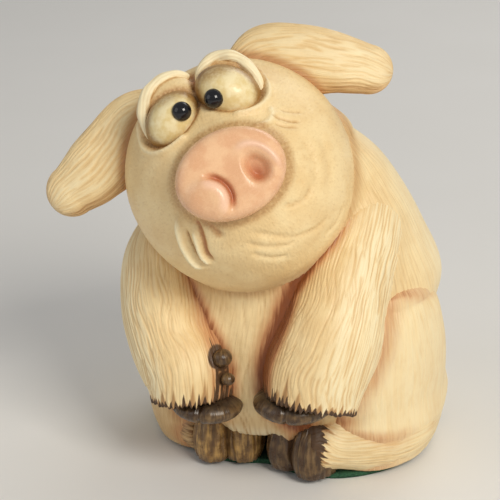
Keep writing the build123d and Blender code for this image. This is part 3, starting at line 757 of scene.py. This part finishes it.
def makeHead():
    # lid mounds, a sunk line and a lid round each eye, then folds and fine strokes
    grid = headForm()
    for side in ("left", "right"):
        halves = np.array([*lids[side]["size"], lids["depth"]]) / 2
        grid = swollen(grid, np.array(lids[side]["middle"]), halves, lids["blend"])
    height, paint = drawFolds(grid)

    def add(mark, strength):
        paint[mark] = np.maximum(paint[mark], strength)

    (ringPlace, ringWidth), (sunkPlace, sunkWidth) = lids["ringPlace"], lids["sunkPlace"]
    for side in ("left", "right"):
        gap, angle = eyeGap(grid, side)
        rise, aim, low, high = lids[side]["ring"]
        ring = bell(gap - ringPlace, ringWidth) * ramp(low, high, np.cos(angle - aim))
        height += rise * ring - lids["sunk"] * bell(gap - sunkPlace, sunkWidth)
        add("groove", 0.95 * bell(np.maximum(gap, 0), 0.9))
        add("pale", 0.5 * ring)
    fur = hairs(grid, *head["fur"])
    back = ramp(*head["back"], grid[..., 2])
    height = height - (head["furDepth"] + head["backDepth"] * back) * fur
    add("groove", fur * (0.16 + 0.24 * back))
    # brown in the crease round each brow, also a painted shade under it
    for side in ("left", "right"):
        add("groove", 0.6 * bell(np.maximum(sleeveGap(grid, *browRings(side)), 0), 0.55))
    wide, tall = snout["shadow"]
    snoutEdge = np.hypot((grid[..., 0] - snout["side"]) / wide, (grid[..., 1] - snout["rise"]) / tall)
    add("groove", 0.7 * ramp(1.16, 0.96, snoutEdge) * (grid[..., 2] > 10))
    world = fromHead(raised(grid, height))
    world, wash, blush = meet(world, [(stackGap(world, *bodyRings()), *head["seam"])], head["reach"])
    add("groove", wash)
    add("blush", blush)
    paint["lay"] = inHead(world)
    makePiece("head", [(world, paint), makeBrow("left"), makeBrow("right")], resin, "painted_resin", "head")


def makeSnout():
    # a round-edged plate: rings from behind, over the rim and in to the middle of the front
    table = smoothRows(snout["profile"])
    turn = np.linspace(0, 2 * np.pi, snout["around"], endpoint=False) + np.radians(snout["roll"])
    x = table[:, 1:] * snout["width"] / 2 * np.cos(turn)
    y = table[:, 1:] * snout["height"] / 2 * np.sin(turn)
    z = np.broadcast_to(table[:, :1] * snout["thickness"], x.shape)
    grid = np.stack([x, y, z], -1)
    grid = evenly(np.concatenate([grid[:1] * [0, 0, 1], grid]), snout["along"])
    front = ramp(0.3, 0.8, grid[..., 2] / snout["thickness"])
    # the nostril: bowl is 1 on the edge of its oval
    nostril, (cosine, sine) = snout["nostril"], snout["nostril"]["slant"]
    aside, up = np.moveaxis(grid[..., :2] - nostril["place"], -1, 0)
    across, along = aside * cosine + up * sine, up * cosine - aside * sine
    bowl = np.hypot(across / nostril["size"][0], along / nostril["size"][1])
    deeper = bell(np.hypot((aside + 0.6) / 1.3, (up + 1.1) / 1.5), 1.0)
    pocket = ramp(1.15, 0.35, bowl) + nostril["deeper"] * deeper
    # a raised rim on the nostril's upper right, which also takes a painted highlight
    rim = bell(bowl - 1.45, 0.2) * ramp(0.1, 0.8, np.cos(np.arctan2(up, aside) - 0.8))
    # the swelling, higher on the side of its crescent
    swelling = snout["swelling"]
    aside, up = np.moveaxis(grid[..., :2] - swelling["place"], -1, 0)
    away, facing = np.hypot(aside, up), np.cos(np.arctan2(up, aside) - swelling["aim"])
    slope = 0.25 + 0.75 * ramp(-3.0, 2.5, aside * cosine + up * sine)
    bulge = np.exp(-((away / swelling["size"]) ** 6)) * slope
    part = ramp(0.35, 0.9, facing) * ramp(0.5, 2.0, away)
    crescent = bell(away - swelling["ring"], swelling["width"]) * part
    lit = ramp(1.3, 2.6, away) * ramp(3.5, 3.0, away) * ramp(0.1, 0.7, facing)
    height = -nostril["depth"] * pocket + nostril["rim"] * rim
    height = front * (height + swelling["height"] * bulge - swelling["depth"] * crescent)
    world = fromHead(raised(grid, height) + [snout["side"], snout["rise"], snout["reach"]])
    # painted shade in the nostril, deepest at its lower left, in the crescent and on the plate's side;
    # painted highlight on the swelling and the rim
    wash = np.maximum(0.42 * ramp(1.15, 0.6, bowl) + 0.45 * deeper, 0.9 * crescent)
    wash = np.maximum(front * wash, 0.5 * (1 - front))
    paint = {"groove": wash, "pale": front * np.maximum(0.9 * lit, rim)}
    makePiece("snout", [(world, paint)], snoutMaterial, "snout_paint", "snout")


eyes = dict(
    depth=10.8, pupil=3.2, around=96, along=64,
    left=dict(middle=(4.1, 11.4, 12.6), size=(11.4, 8.8), turn=-50.0, pupil=(1.6, 11.2)),
    right=dict(middle=(-5.9, 11.2, 12.6), size=(10.4, 8.2), turn=29.0, pupil=(-3.9, 11.5)),
)


def makeEyes():
    # a stretched ball, brown at its rim and with painted shade under the lid, and a round bead let half into
    # it
    for side in ("left", "right"):
        eye = eyes[side]
        middle, halves = np.array(eye["middle"]), np.array([*eye["size"], eyes["depth"]]) / 2
        ball = pebble(middle, halves, eye["turn"], eyes["around"], eyes["along"])
        away = (ball - middle) / halves[2]
        # brown at the rim where the ball sinks into the head, and a painted shade over its upper part under
        # the lid
        paint = {"groove": np.maximum(ramp(0.85, 0.3, away[..., 2]), 0.6 * ramp(0.15, 0.75, away[..., 1]))}
        makePiece(f"{side}_eyeball", [(fromHead(ball), paint)], eyeMaterial, "eye_paint", f"{side}_eyeball")
        along, rise = turned(*(np.array(eye["pupil"]) - middle[:2]), -np.radians(eye["turn"]))
        out = halves[2] * np.sqrt(1 - (along / halves[0]) ** 2 - (rise / halves[1]) ** 2)
        place, half = np.array([*eye["pupil"], middle[2] + out]), np.full(3, eyes["pupil"] / 2)
        bead = pebble(place, half, 0, eyes["around"] // 2, eyes["along"] // 2)
        makePiece(f"{side}_pupil", [(fromHead(bead), {})], beadMaterial, "pupil_bead", f"{side}_pupil")


ears = dict(
    width=9.8, thickness=5.6, dome=1.0, around=210, along=190, hollow=1.5,
    fur=(0.85, 3.6), seed=21, sway=0.6, furDepth=0.12, seam=(1.5, 0.9, 0.4), reach=2.2,
    # side, rise and forward place, half width, half thickness in front and behind
    left=(
        (0.4, 0.76, -0.06, 0.85, 0.9, 0.9), (0.63, 0.8, -0.04, 1.14, 1.0, 0.95),
        (0.9, 0.685, 0.01, 1.1, 1.05, 0.85), (1.15, 0.505, 0.03, 1.06, 0.98, 0.8),
        (1.4, 0.32, 0.0, 0.87, 0.82, 0.7),
    ),
    right=(
        (-0.42, 0.79, -0.06, 0.85, 0.9, 0.9), (-0.645, 0.79, -0.04, 1.02, 1.0, 0.95),
        (-0.9, 0.66, 0.01, 1.12, 1.05, 0.85), (-1.145, 0.54, 0.03, 1.16, 0.98, 0.8),
        (-1.39, 0.475, 0.0, 0.93, 0.82, 0.7),
    ),
)


def makeEar(side):
    # a flattened sleeve from the crown out to a rounded tip, with a hollow along its back
    table = smoothRows(ears[side])
    places = fromHead(table[:, :3] * head["radius"])
    halves = table[:, 3:] * [ears["width"] / 2, ears["thickness"] / 2, ears["thickness"] / 2]
    sign = signs[side]
    grid = formed(ears, places, halves, headAxes[1] * sign, (0.3, ears["dome"]))
    turn, reach, girth = arcs(grid)
    angle, far = turn / girth * 2 * np.pi, reach / reach.max()
    hollow = np.exp(-((np.cos(angle) / 0.62) ** 4)) * (np.sin(angle) < 0)
    hollow = hollow * ramp(0.16, 0.3, far) * ramp(1.0, 0.4, far)
    fur = hairs(grid, *ears["fur"], ears["seed"] + sign, ears["sway"])
    grid = raised(grid, -ears["hollow"] * hollow - ears["furDepth"] * fur * (1 - 0.6 * hollow))
    grid, wash, blush = meet(grid, [(headGap(grid), *ears["seam"])], ears["reach"])
    tip, edge = ramp(0.72, 1.0, far), bell(np.sin(angle), 0.5) * (np.cos(angle) < 0)
    # painted shade along the ear's lower hem, which also takes the pale brushing away there
    hemShade = ramp(0.5, 0.9, -sign * np.cos(angle)) * ramp(0.1, 0.25, far) * ramp(0.98, 0.85, far)
    paint = {
        "groove": np.maximum(fur * 0.34 + hollow * 0.2 + 0.55 * hemShade, wash),
        "blush": np.maximum(0.24 * tip + 0.4 * hollow + 0.22 * edge, blush),
        "pale": 0.5 * ramp(0.3, 0.9, np.sin(angle)) * (1 - fur) - hemShade,
    }
    makePiece(f"{side}_ear", [(grid, paint)], resin, "painted_resin", f"{side}_ear")


legs = dict(
    width=16.0, depth=16.6, dome=0.8, around=330, along=180,
    fur=(0.85, 4.0), seeds=dict(left=31, right=43), furDepth=0.16,
    # tufts: count, length and seed; dark strokes: count and seed; wash and blush of the inner side, which
    # also paint the shade in the crease against the belly
    tufts=(54, 1.1, 5), ink=(64, 15), wash=(40, 25), strong=dict(left=(0.9, 1.0), right=(0.3, 0.65)),
    # place, half width, half depth above and below the route, as shares
    left=(
        (0.38, 0.02, 0.7, 0.5, 0.5, 0.5), (0.55, -0.24, 0.7, 0.76, 0.76, 0.76),
        (0.535, -0.5, 0.605, 0.88, 0.88, 0.88), (0.51, -0.66, 0.525, 0.96, 0.96, 0.96),
        (0.485, -0.8, 0.44, 1.05, 1.0, 1.0), (0.415, -0.885, 0.35, 1.08, 1.0, 1.0),
        (0.393, -0.93, 0.28, 1.0, 0.9, 0.9),
    ),
    right=(
        (-0.46, 0.06, 0.66, 0.5, 0.5, 0.5), (-0.68, -0.19, 0.64, 0.68, 0.76, 0.76),
        (-0.76, -0.42, 0.56, 0.84, 0.92, 0.92), (-0.695, -0.61, 0.46, 0.95, 0.98, 0.98),
        (-0.59, -0.76, 0.375, 0.955, 0.98, 0.98), (-0.46, -0.86, 0.3, 0.955, 0.96, 0.96),
        (-0.437, -0.885, 0.243, 0.86, 0.88, 0.88),
    ),
)
hooves = dict(
    width=13.5, depth=12.2, height=5.6, around=150, along=90,
    cleft=0.5, cleftWidth=0.35, rib=(1.6, 5.0, 81), ribDepth=0.08,
    # place on the body and size
    left=(0.275, -0.955, 0.265, 1.0), right=(-0.31, -0.928, 0.222, 0.92),
)
claws = dict(
    # diameter and place on the body
    right_dewclaw=(3.7, (-0.2, -0.945, 0.375)), right_lower_dewclaw=(2.6, (-0.15, -0.985, 0.32)),
    right_hind_dewclaw=(4.6, (-0.56, -0.56, 0.06)),
)
clawFur = dict(right_dewclaw=0.95, right_lower_dewclaw=0.7, lanes=14, seed=77)


def limb(table, width, height):
    # the places and half sizes of a limb's rings, from its shares
    table = smoothRows(table)
    return onBody(table[:, 0], table[:, 1], table[:, 2]), table[:, 3:] * [width / 2, height / 2, height / 2]


def legGap(points, side):
    # about how far points lie outside a foreleg
    return sleeveGap(points, *limb(legs[side], legs["width"], legs["depth"]))


def clawStain(points):
    # ragged rings of dark fur round the dewclaws of the foreleg
    stainAndShadow, lanes = np.zeros(points.shape[:-1]), clawFur["lanes"]
    for name in ("right_dewclaw", "right_lower_dewclaw"):
        diameter, place = claws[name]
        away = points - onBody(*place)
        gap = np.linalg.norm(away, axis=-1) - diameter / 2
        angle = np.arctan2(away[..., 2], away[..., 0]) / (2 * np.pi) * lanes
        ragged = clawFur[name] * (0.5 + 1.5 * noise(angle, 0 * angle, lanes, clawFur["seed"]))
        stainAndShadow = np.maximum(stainAndShadow, ramp(ragged, 0, gap))
    return stainAndShadow


def makeForeleg(side):
    # a sleeve from the shoulder to the wrist, with strokes along it and an edge of pointed tufts
    places, halves = limb(legs[side], legs["width"], legs["depth"])
    grid = formed(legs, places, halves, np.array([1.0, 0, 0]), (legs["dome"], 0.12))
    below = rimOf(grid)
    turn, reach, girth = arcs(grid)
    inward = -signs[side] * np.cos(turn / girth * 2 * np.pi)
    inner, (washed, blushed) = ramp(-0.2, 0.5, inward), legs["strong"][side]
    neighbours = [
        (stackGap(grid, *bodyRings()), 2.0, washed * inner + 0.2, blushed * inner + 0.06),
        (headGap(grid), 1.4, 0.6, 0.1), (thighGap(grid, side), 1.2, 0.4, 0.6),
        (footGap(grid, side), 1.2, 0.4, 0.5),
    ]
    grid, wash, blush = meet(grid, neighbours)
    # the inner edge takes the crease's wash and blush, also a painted shade, strongest on the left leg
    edge = blushed * ramp(0.52, 1.0, inward) * ramp(6, 16, reach)
    wash, blush = np.maximum(wash, edge), np.maximum(blush, edge)
    fur = hairs(grid, *legs["fur"], legs["seeds"][side])
    grid = raised(grid, -legs["furDepth"] * fur * ramp(0, 10, reach) * ramp(-1.0, 2.0, below))
    grid = tufts(grid, below, unit(places[-1] - places[-8]), *legs["tufts"])
    # the dark strokes are longest on the inner side, and longer still under the dewclaws
    facing = ramp(-0.9, 0.7, inward)
    long = 8.0 * ramp(0.72, 0.9, inward) if side == "right" else 0
    (inkCount, inkSeed), (washCount, washSeed) = legs["ink"], legs["wash"]
    inked = spikes(grid, below, inkCount, 0.7 + 2.2 * facing + long, inkSeed)
    if side == "right":
        inked = np.maximum(inked, clawStain(grid))
    brown = 0.85 * spikes(grid, below, washCount, 2.0 + 4.0 * facing, washSeed)
    paint = {
        "groove": np.maximum(np.maximum(fur * 0.42 * ramp(4, 20, reach), wash), brown),
        "blush": blush, "stainAndShadow": np.where(below < -0.8, 1.0, inked),
        "pale": 0.7 * ramp(0.2, -0.6, inward) * (1 - fur) * ramp(0, 12, reach),
    }
    makePiece(f"{side}_foreleg", [(grid, paint)], resin, "painted_resin", f"{side}_foreleg")


def makeHoof(side):
    # a flat stretched ball with a groove that parts its front in two
    *place, share = hooves[side]
    halves = np.array([hooves["width"], hooves["depth"], hooves["height"]]) / 2 * share
    grid = pebble(np.zeros(3), halves, 0, hooves["around"], hooves["along"])
    x, y, z = np.moveaxis(grid, -1, 0)
    cleft = bell(x, hooves["cleftWidth"]) * ramp(-0.35 * halves[1], -0.75 * halves[1], y)
    rib = hairs(grid, *hooves["rib"])
    grid = raised(grid, -hooves["cleft"] * cleft - hooves["ribDepth"] * rib) + onBody(*place)
    # painted shadow from the fur over the top of the hoof, with the dark in its cleft and ribs
    paint = {"groove": np.maximum(0.6 * cleft, 0.35 * rib), "stainAndShadow": 0.8 * ramp(0.0, 0.8, z / halves[2])}
    makePiece(f"{side}_fore_hoof", [(grid, paint)], hoofMaterial, "hoof_paint", f"{side}_fore_hoof")


haunches = dict(
    length=36.0, height=32.0, width=23.0, dome=0.4, place=(0.63, 0.04), lean=0.2,
    around=240, along=150, fur=(1.1, 6.0), seed=55, furDepth=0.06, reach=4.5, pocket=3.4,
    # dark: a painted shade on the front of the thigh and on the hind foot, on the right side only
    share=dict(left=1.0, right=0.9), dark=dict(left=0.0, right=0.45),
    # height, half width, half length behind and in front, as shares
    rings=(
        (0.0, 0.84, 0.84, 0.84), (0.26, 1.0, 0.95, 0.97), (0.45, 1.05, 0.86, 1.0), (0.62, 1.06, 0.66, 0.98),
        (0.76, 1.02, 0.44, 0.93), (0.87, 0.93, 0.28, 0.82), (0.94, 0.78, 0.2, 0.66),
    ),
)
feet = dict(
    width=9.0, height=11.0, around=190, along=170, fur=(0.9, 3.5), seed=65, furDepth=0.09,
    lump=0.4, lumpLength=1.9, lumpSeed=35, tufts=(30, 1.0, 8), ink=(40, 2.4, 18), wash=(28, 4.6, 28), rim=2.0,
    # place, half width, half height above and below the route, as shares
    left=(
        (0.89, 0.24, 0.1, 0.95, 1.05, 1.2), (0.875, -0.02, 0.085, 1.0, 1.0, 1.0),
        (0.85, -0.27, 0.085, 1.08, 1.0, 0.9), (0.66, -0.5, 0.085, 1.1, 1.0, 0.9),
        (0.45, -0.65, 0.088, 1.0, 0.92, 0.9), (0.33, -0.73, 0.1, 0.8, 0.78, 0.8),
    ),
    right=(
        (-0.66, 0.1, 0.07, 0.5, 0.6, 0.7), (-0.74, -0.04, 0.08, 0.85, 0.85, 0.9),
        (-0.665, -0.24, 0.08, 1.0, 0.92, 0.9), (-0.53, -0.42, 0.075, 1.0, 0.86, 0.9),
        (-0.41, -0.55, 0.07, 1.0, 0.82, 0.9),
    ),
)


def grounded(grid):
    # nothing reaches below the felt's upper face
    flat = grid.copy()
    flat[..., 2] = np.maximum(grid[..., 2], feltTop)
    return flat


def thighRings(side):
    # the places and half sizes of the thigh's rings, which lean forward by the square of the height
    sign, share = signs[side], haunches["share"][side]
    table = smoothRows(haunches["rings"])
    x, y = haunches["place"]
    heights = share * table[:, 0] * haunches["height"] / body["height"]
    places = onBody(0 * heights + sign * x * share, y - haunches["lean"] * table[:, 0] ** 2, heights)
    size = np.array([share * haunches["width"], haunches["length"], haunches["length"]]) / 2
    return places, table[:, 1:] * size


def thighGap(points, side):
    # about how far points lie outside a thigh
    return stackGap(points, *thighRings(side))


def footRings(side):
    # the places and half sizes of a hind foot's rings
    return limb(feet[side], feet["width"], feet["height"])


def footGap(points, side):
    # about how far points lie outside a hind foot
    return sleeveGap(points, *footRings(side))


def makeHaunch(side):
    # oval rings for the thigh, with brown in its seams and in the pocket between foreleg and foot, also a
    # painted shade there
    grid = standing(*thighRings(side), haunches["around"], haunches["along"], haunches["dome"])
    trunk, nearFoot, nearLeg = stackGap(grid, *bodyRings()), footGap(grid, side), legGap(grid, side)
    y = grid[..., 1]
    ahead, front, lean = ramp(4, -9, y), ramp(-6, -16, y), ramp(6, -14, y)
    # the pocket between foreleg and foot: a brown wash that is also a painted shade
    pocket = bell(np.hypot(np.maximum(nearFoot, 0), np.maximum(nearLeg, 0)), haunches["pocket"])
    neighbours = [
        (trunk, 0.8, 0.1 * ahead, 0.45 * ahead), (trunk, 0.35, 0.3 * lean, 0.6 * lean),
        (nearLeg, 3.6, 0.3, 0.5), (nearFoot, 1.1, 0.3 * front, 0.5 * front),
    ]
    grid, wash, blush = meet(grid, neighbours, haunches["reach"])
    wash, blush = np.maximum(wash, pocket), np.maximum(blush, pocket)
    fur = hairs(grid, *haunches["fur"], haunches["seed"] + signs[side])
    grid = grounded(raised(grid, -haunches["furDepth"] * fur))
    # painted shade over the front of the right thigh
    paintedShade = haunches["dark"][side] * ramp(-6, -14, grid[..., 1])
    paint = {"groove": np.maximum(fur * 0.08, wash) + paintedShade, "blush": blush, "pale": 0.5 - 0.2 * fur - paintedShade}
    makePiece(f"{side}_haunch", [(grid, paint)], resin, "painted_resin", f"{side}_haunch")


def makeFoot(side):
    # a lumpy sleeve that lies along the thigh's lower edge and ends in tufts over the trotter
    sign, dark = signs[side], haunches["dark"][side]
    places, halves = footRings(side)
    grid = formed(feet, places, halves, np.array([sign, 0, 0.0]), (0.8, 0.35))
    below = rimOf(grid)
    ahead = ramp(-6, -16, grid[..., 1])
    neighbours = [(thighGap(grid, side), 1.1, 0.35 * ahead, 0.6 * ahead), (legGap(grid, side), 1.6, 0.6, 0.8)]
    grid, wash, blush = meet(grid, neighbours, haunches["reach"])
    fur = hairs(grid, *feet["fur"], feet["seed"] + sign)
    lump = noise(arcs(grid)[1] / feet["lumpLength"], 0 * grid[..., 0], 64, feet["lumpSeed"])
    grid = raised(grid, -feet["furDepth"] * fur - feet["lump"] * lump)
    grid = grounded(tufts(grid, below, unit(places[-1] - places[-8]), *feet["tufts"]))
    inked, brown = [spikes(grid, below + feet["rim"], *feet[name]) for name in ("ink", "wash")]
    # the dark share is a painted shade: more wash, more of the dark mark and less pale on the right foot
    paint = {
        "groove": np.maximum(np.maximum(fur * 0.2 + 0.12 * lump, wash), 0.8 * brown) + dark,
        "blush": blush, "stainAndShadow": np.maximum(inked, dark), "pale": 0.5 * (1 - fur) - dark,
    }
    makePiece(f"{side}_hind_foot", [(grid, paint)], resin, "painted_resin")


toes = dict(
    length=12.0, width=8.2, height=14.1, splay=6.0, spread=0.3, around=130, along=90,
    rib=(2.3, 7.0), seed=85, ribDepth=0.32,
    # place on the body and the way the trotter points, in degrees
    left=(0.29, -0.61, 0.065, -24.0), right=(-0.27, -0.55, 0.06, 14.0),
)


def makeTrotter(side, material):
    # two stretched balls side by side with ribs from top to bottom, ground flat on the felt
    *place, turn = toes[side]
    size = np.array([toes["width"], toes["length"], toes["height"]]) / 2
    grids = []
    for half in (-1, 1):
        a, b = np.radians(turn), np.radians(turn + half * toes["splay"])
        grid = pebble(np.zeros(3), size, 0, toes["around"], toes["along"])
        inner = ramp(0.35, 1.0, -half * grid[..., 0] / size[0])
        rib = hairs(grid, *toes["rib"], toes["seed"] + half)
        x, y, z = np.moveaxis(raised(grid, -toes["ribDepth"] * rib), -1, 0)
        spot = half * toes["width"] * toes["spread"] * np.array([np.cos(a), np.sin(a), 0])
        grid = np.stack([*turned(x, y, b), z], -1) + spot + onBody(*place)
        low = ramp(3.5, 1.0, grid[..., 2])
        grids.append((grounded(grid), {"groove": np.maximum(np.maximum(inner, rib * 0.75), low * 0.6)}))
    makePiece(f"{side}_hind_trotter", grids, material, "trotter_paint", f"{side}_hind_trotter")


def makeClaw(name):
    # a slightly flattened ball
    diameter, place = claws[name]
    halves = np.array([1, 1, 0.9]) * diameter * 0.46
    ball = pebble(np.zeros(3), halves, 0, 64, 40) + onBody(*place)
    slot = "trotter_paint" if "hind" in name else "hoof_paint"
    makePiece(name, [(grounded(ball), {})], hoofMaterial, slot, name)


tail = dict(
    width=3.6, curl=4.4, height=17.0, taper=0.5, turns=(100, 60, 20, -20, -60, -100, -140, -180, -215),
    around=80, along=140, fur=(0.9, 4.0, 91), furDepth=0.12,
)


def makeTail():
    # a sleeve round a curl that gets smaller as it turns, lying against the rump
    table = smoothRows(body["shares"])
    share = np.linspace(1, tail["taper"], len(tail["turns"]))
    turns = np.radians(tail["turns"])
    heights = tail["height"] + tail["curl"] * share * np.sin(turns)
    x = tail["curl"] * share * np.cos(turns)
    rump = (table[:, 2] + table[:, 4]) * body["depth"] / 2
    back = np.interp(heights, feltTop + table[:, 0] * body["height"], rump)
    out = back + tail["width"] * 0.15 - x**2 / body["width"]
    rows = smoothRows(np.column_stack([x, out, heights, *[tail["width"] / 2 * share] * 3]))
    grid = formed(tail, rows[:, :3], rows[:, 3:], np.array([0, 1.0, 0]), (0.9, 0.9))
    fur = hairs(grid, *tail["fur"])
    grid = raised(grid, -tail["furDepth"] * fur)
    makePiece("tail", [(grid, {"groove": fur * 0.6})], resin, "painted_resin", "tail")


felt = dict(
    edge=0.004, nicks=70, seed=12,
    # the outline in shares of the body's half width and half depth
    outline=(
        (0.02, -0.62), (0.24, -0.7), (0.46, -0.7), (0.62, -0.64), (0.76, -0.53), (0.86, -0.41), (0.93, -0.26),
        (0.98, -0.08), (1.0, 0.14), (1.0, 0.4), (0.93, 0.64), (0.72, 0.87), (0.4, 1.03), (0.0, 1.08),
        (-0.4, 1.03), (-0.72, 0.87), (-0.93, 0.64), (-0.99, 0.4), (-0.97, 0.18), (-0.91, 0.0),
        (-0.81, -0.18), (-0.68, -0.38), (-0.54, -0.54), (-0.38, -0.64), (-0.18, -0.66),
    ),
)


def makeFelt():
    # a flat disc with a smooth closed outline and a slightly uneven cut edge
    lift = np.array([0, 0, 0.02, 0.1, 0.5, 0.9, 0.98, 1, 1])[:, None] * feltTop
    girth = np.array([0, 0.98, 0.99, 0.998, 1, 0.998, 0.99, 0.98, 0])[:, None]
    rows, nicks = felt["outline"], felt["nicks"]
    curve = smoothRows(rows[-1:] + rows + rows[:2])[12 : 12 * (len(rows) + 1)]
    turn = np.arange(len(curve)) / len(curve)
    nick = noise(turn * nicks + 0 * lift, lift * 2, nicks, felt["seed"]) - 0.7
    uneven = 1 + felt["edge"] * nick * (girth > 0.5)
    middle = curve.mean(0)
    spread = middle + (curve - middle)[None] * (girth * uneven)[..., None]
    grid = onBody(spread[..., 0], spread[..., 1], 0 * spread[..., 0])
    grid[..., 2] = lift
    makePiece("felt_pad", [(grid, {})], feltMaterial, "green_felt", "felt_pad")


def makeBody():
    # strokes run up the body and are deepest on the belly, whose lower edge is drawn into points
    grid = standing(*bodyRings(), body["around"], body["along"], body["dome"])
    x, y, z = np.moveaxis(grid, -1, 0)
    front, ahead = ramp(0.1, -0.6, y / (body["depth"] / 2)), ramp(4, -9, y)
    neighbours = [(headGap(grid), 1.5, 0.6, 0.12)]
    # wash and blush in the crease beside each foreleg, also a painted shade, stronger beside the left one
    for side, washed, blushed, width in (("left", 1.0, 1.0, 2.8), ("right", 0.35, 0.7, 1.8)):
        places, halves = limb(legs[side], legs["width"], legs["depth"])
        inner = ramp(-2.0, 3.0, -signs[side] * (x - np.interp(-z, -places[:, 2], places[:, 0])))
        neighbours += [
            (sleeveGap(grid, places, halves), width, washed * inner + 0.15, blushed * inner + 0.06),
            (thighGap(grid, side), 0.9, 0.2 * ahead, 0.75 * ahead),
            (footGap(grid, side), 1.0, 0.4 * ahead, 0.4 * ahead),
        ]
    grid, wash, blush = meet(grid, neighbours)
    fur = hairs(grid, *body["fur"])
    grid = raised(grid, -(body["furDepth"] + body["bellyDepth"] * front) * fur)
    # the apron is the belly's lower edge, pulled down in places
    apron = bell(z - body["apron"], 1.4) * front
    scallop = noise(x / body["scallop"] + 20, 0 * x, 64, body["scallopSeed"])
    grid = grid + np.array([0, -0.3, -1.0]) * (body["drop"] * apron * scallop)[..., None]
    # painted shadow under the apron's edge, carried by the dark mark, and a painted shade over the lower
    # front of the belly, carried by the brown wash
    under, low = ramp(7.6, 6.2, z) * front, ramp(17, 9, z) * front
    paint = {
        "groove": np.maximum(fur * (0.1 + 0.35 * front), wash) + 0.25 * low, "blush": blush, "stainAndShadow": under,
        "pale": np.maximum(apron, (0.6 - 0.2 * fur) * (1 - front)),
    }
    makePiece("body", [(grounded(grid), paint)], resin, "painted_resin", "body")


makeHead()
makeSnout()
makeEyes()
print("head made")
for side in ("left", "right"):
    makeEar(side)
    makeForeleg(side)
    makeHoof(side)
    makeHaunch(side)
    makeFoot(side)
makeTrotter("left", hoofMaterial)
makeTrotter("right", toeMaterial)
for claw in claws:
    makeClaw(claw)
makeTail()
makeFelt()
makeBody()
print("body made")

view = dict(azimuth=16.0, elevation=22.0, eye=(74.404, -284.337, 153.668), lens=128.3, sensor=36.0, near=0.01)


def makeCamera():
    # looks level with its own horizon from the eye, back along the two angles
    azimuth, elevation = np.radians([view["azimuth"], view["elevation"]])
    level = np.cos(elevation)
    back = Vector((np.sin(azimuth) * level, -np.cos(azimuth) * level, np.sin(elevation)))
    right = Vector((np.cos(azimuth), np.sin(azimuth), 0))
    turned = Matrix((right, back.cross(right), back)).transposed().to_4x4()
    data = bpy.data.cameras.new("camera")
    data.lens, data.sensor_width, data.clip_start = view["lens"], view["sensor"], view["near"]
    camera = bpy.data.objects.new("camera", data)
    camera.matrix_world = Matrix.Translation(Vector(view["eye"]) * mm) @ turned
    bpy.context.scene.collection.objects.link(camera)
    bpy.context.scene.camera = camera


studio = dict(
    # name: place and size in metres, power in watts, colour
    key=((0.32, -0.3, 0.38), 0.22, 2.05, (1.0, 0.95, 0.86)),
    fill=((-0.4, -0.3, 0.25), 0.35, 0.35, (0.98, 0.97, 0.96)),
    rim=((0.1, 0.4, 0.35), 0.3, 0.6, (1.0, 0.97, 0.92)),
    aim=(0, 0, 0.035), world=0.3, floor=3.0,
)


def makeStudio():
    # three soft lamps aimed at the pig's middle, an even pale sky and a plain floor
    scene = bpy.context.scene
    for name in ("key", "fill", "rim"):
        place, size, power, colour = studio[name]
        data = bpy.data.lights.new(name, "AREA")
        data.energy, data.size, data.color = power, size, colour
        lamp = bpy.data.objects.new(name, data)
        lamp.location = place
        lamp.rotation_euler = (Vector(studio["aim"]) - Vector(place)).to_track_quat("-Z", "Y").to_euler()
        scene.collection.objects.link(lamp)
    scene.world = bpy.data.worlds.new("studio")
    scene.world.use_nodes = True
    sky = scene.world.node_tree.nodes["Background"].inputs
    sky["Color"].default_value, sky["Strength"].default_value = (1, 1, 1, 1), studio["world"]
    scene.view_settings.view_transform = "Standard"
    mesh, reach = bpy.data.meshes.new("floor"), studio["floor"]
    corners = [(-reach, -reach, 0), (reach, -reach, 0), (reach, reach, 0), (-reach, reach, 0)]
    mesh.from_pydata(corners, [], [(0, 1, 2, 3)])
    floor = bpy.data.objects.new("floor", mesh)
    scene.collection.objects.link(floor)
    paint = Paint("paleFloor")
    colour = paint.mix(paint.noise(60.0, 2.0), paints["floor"], paints["floorPale"])
    mesh.materials.append(paint.finish(colour, 0.9))


makeCamera()
makeStudio()
print("studio made")
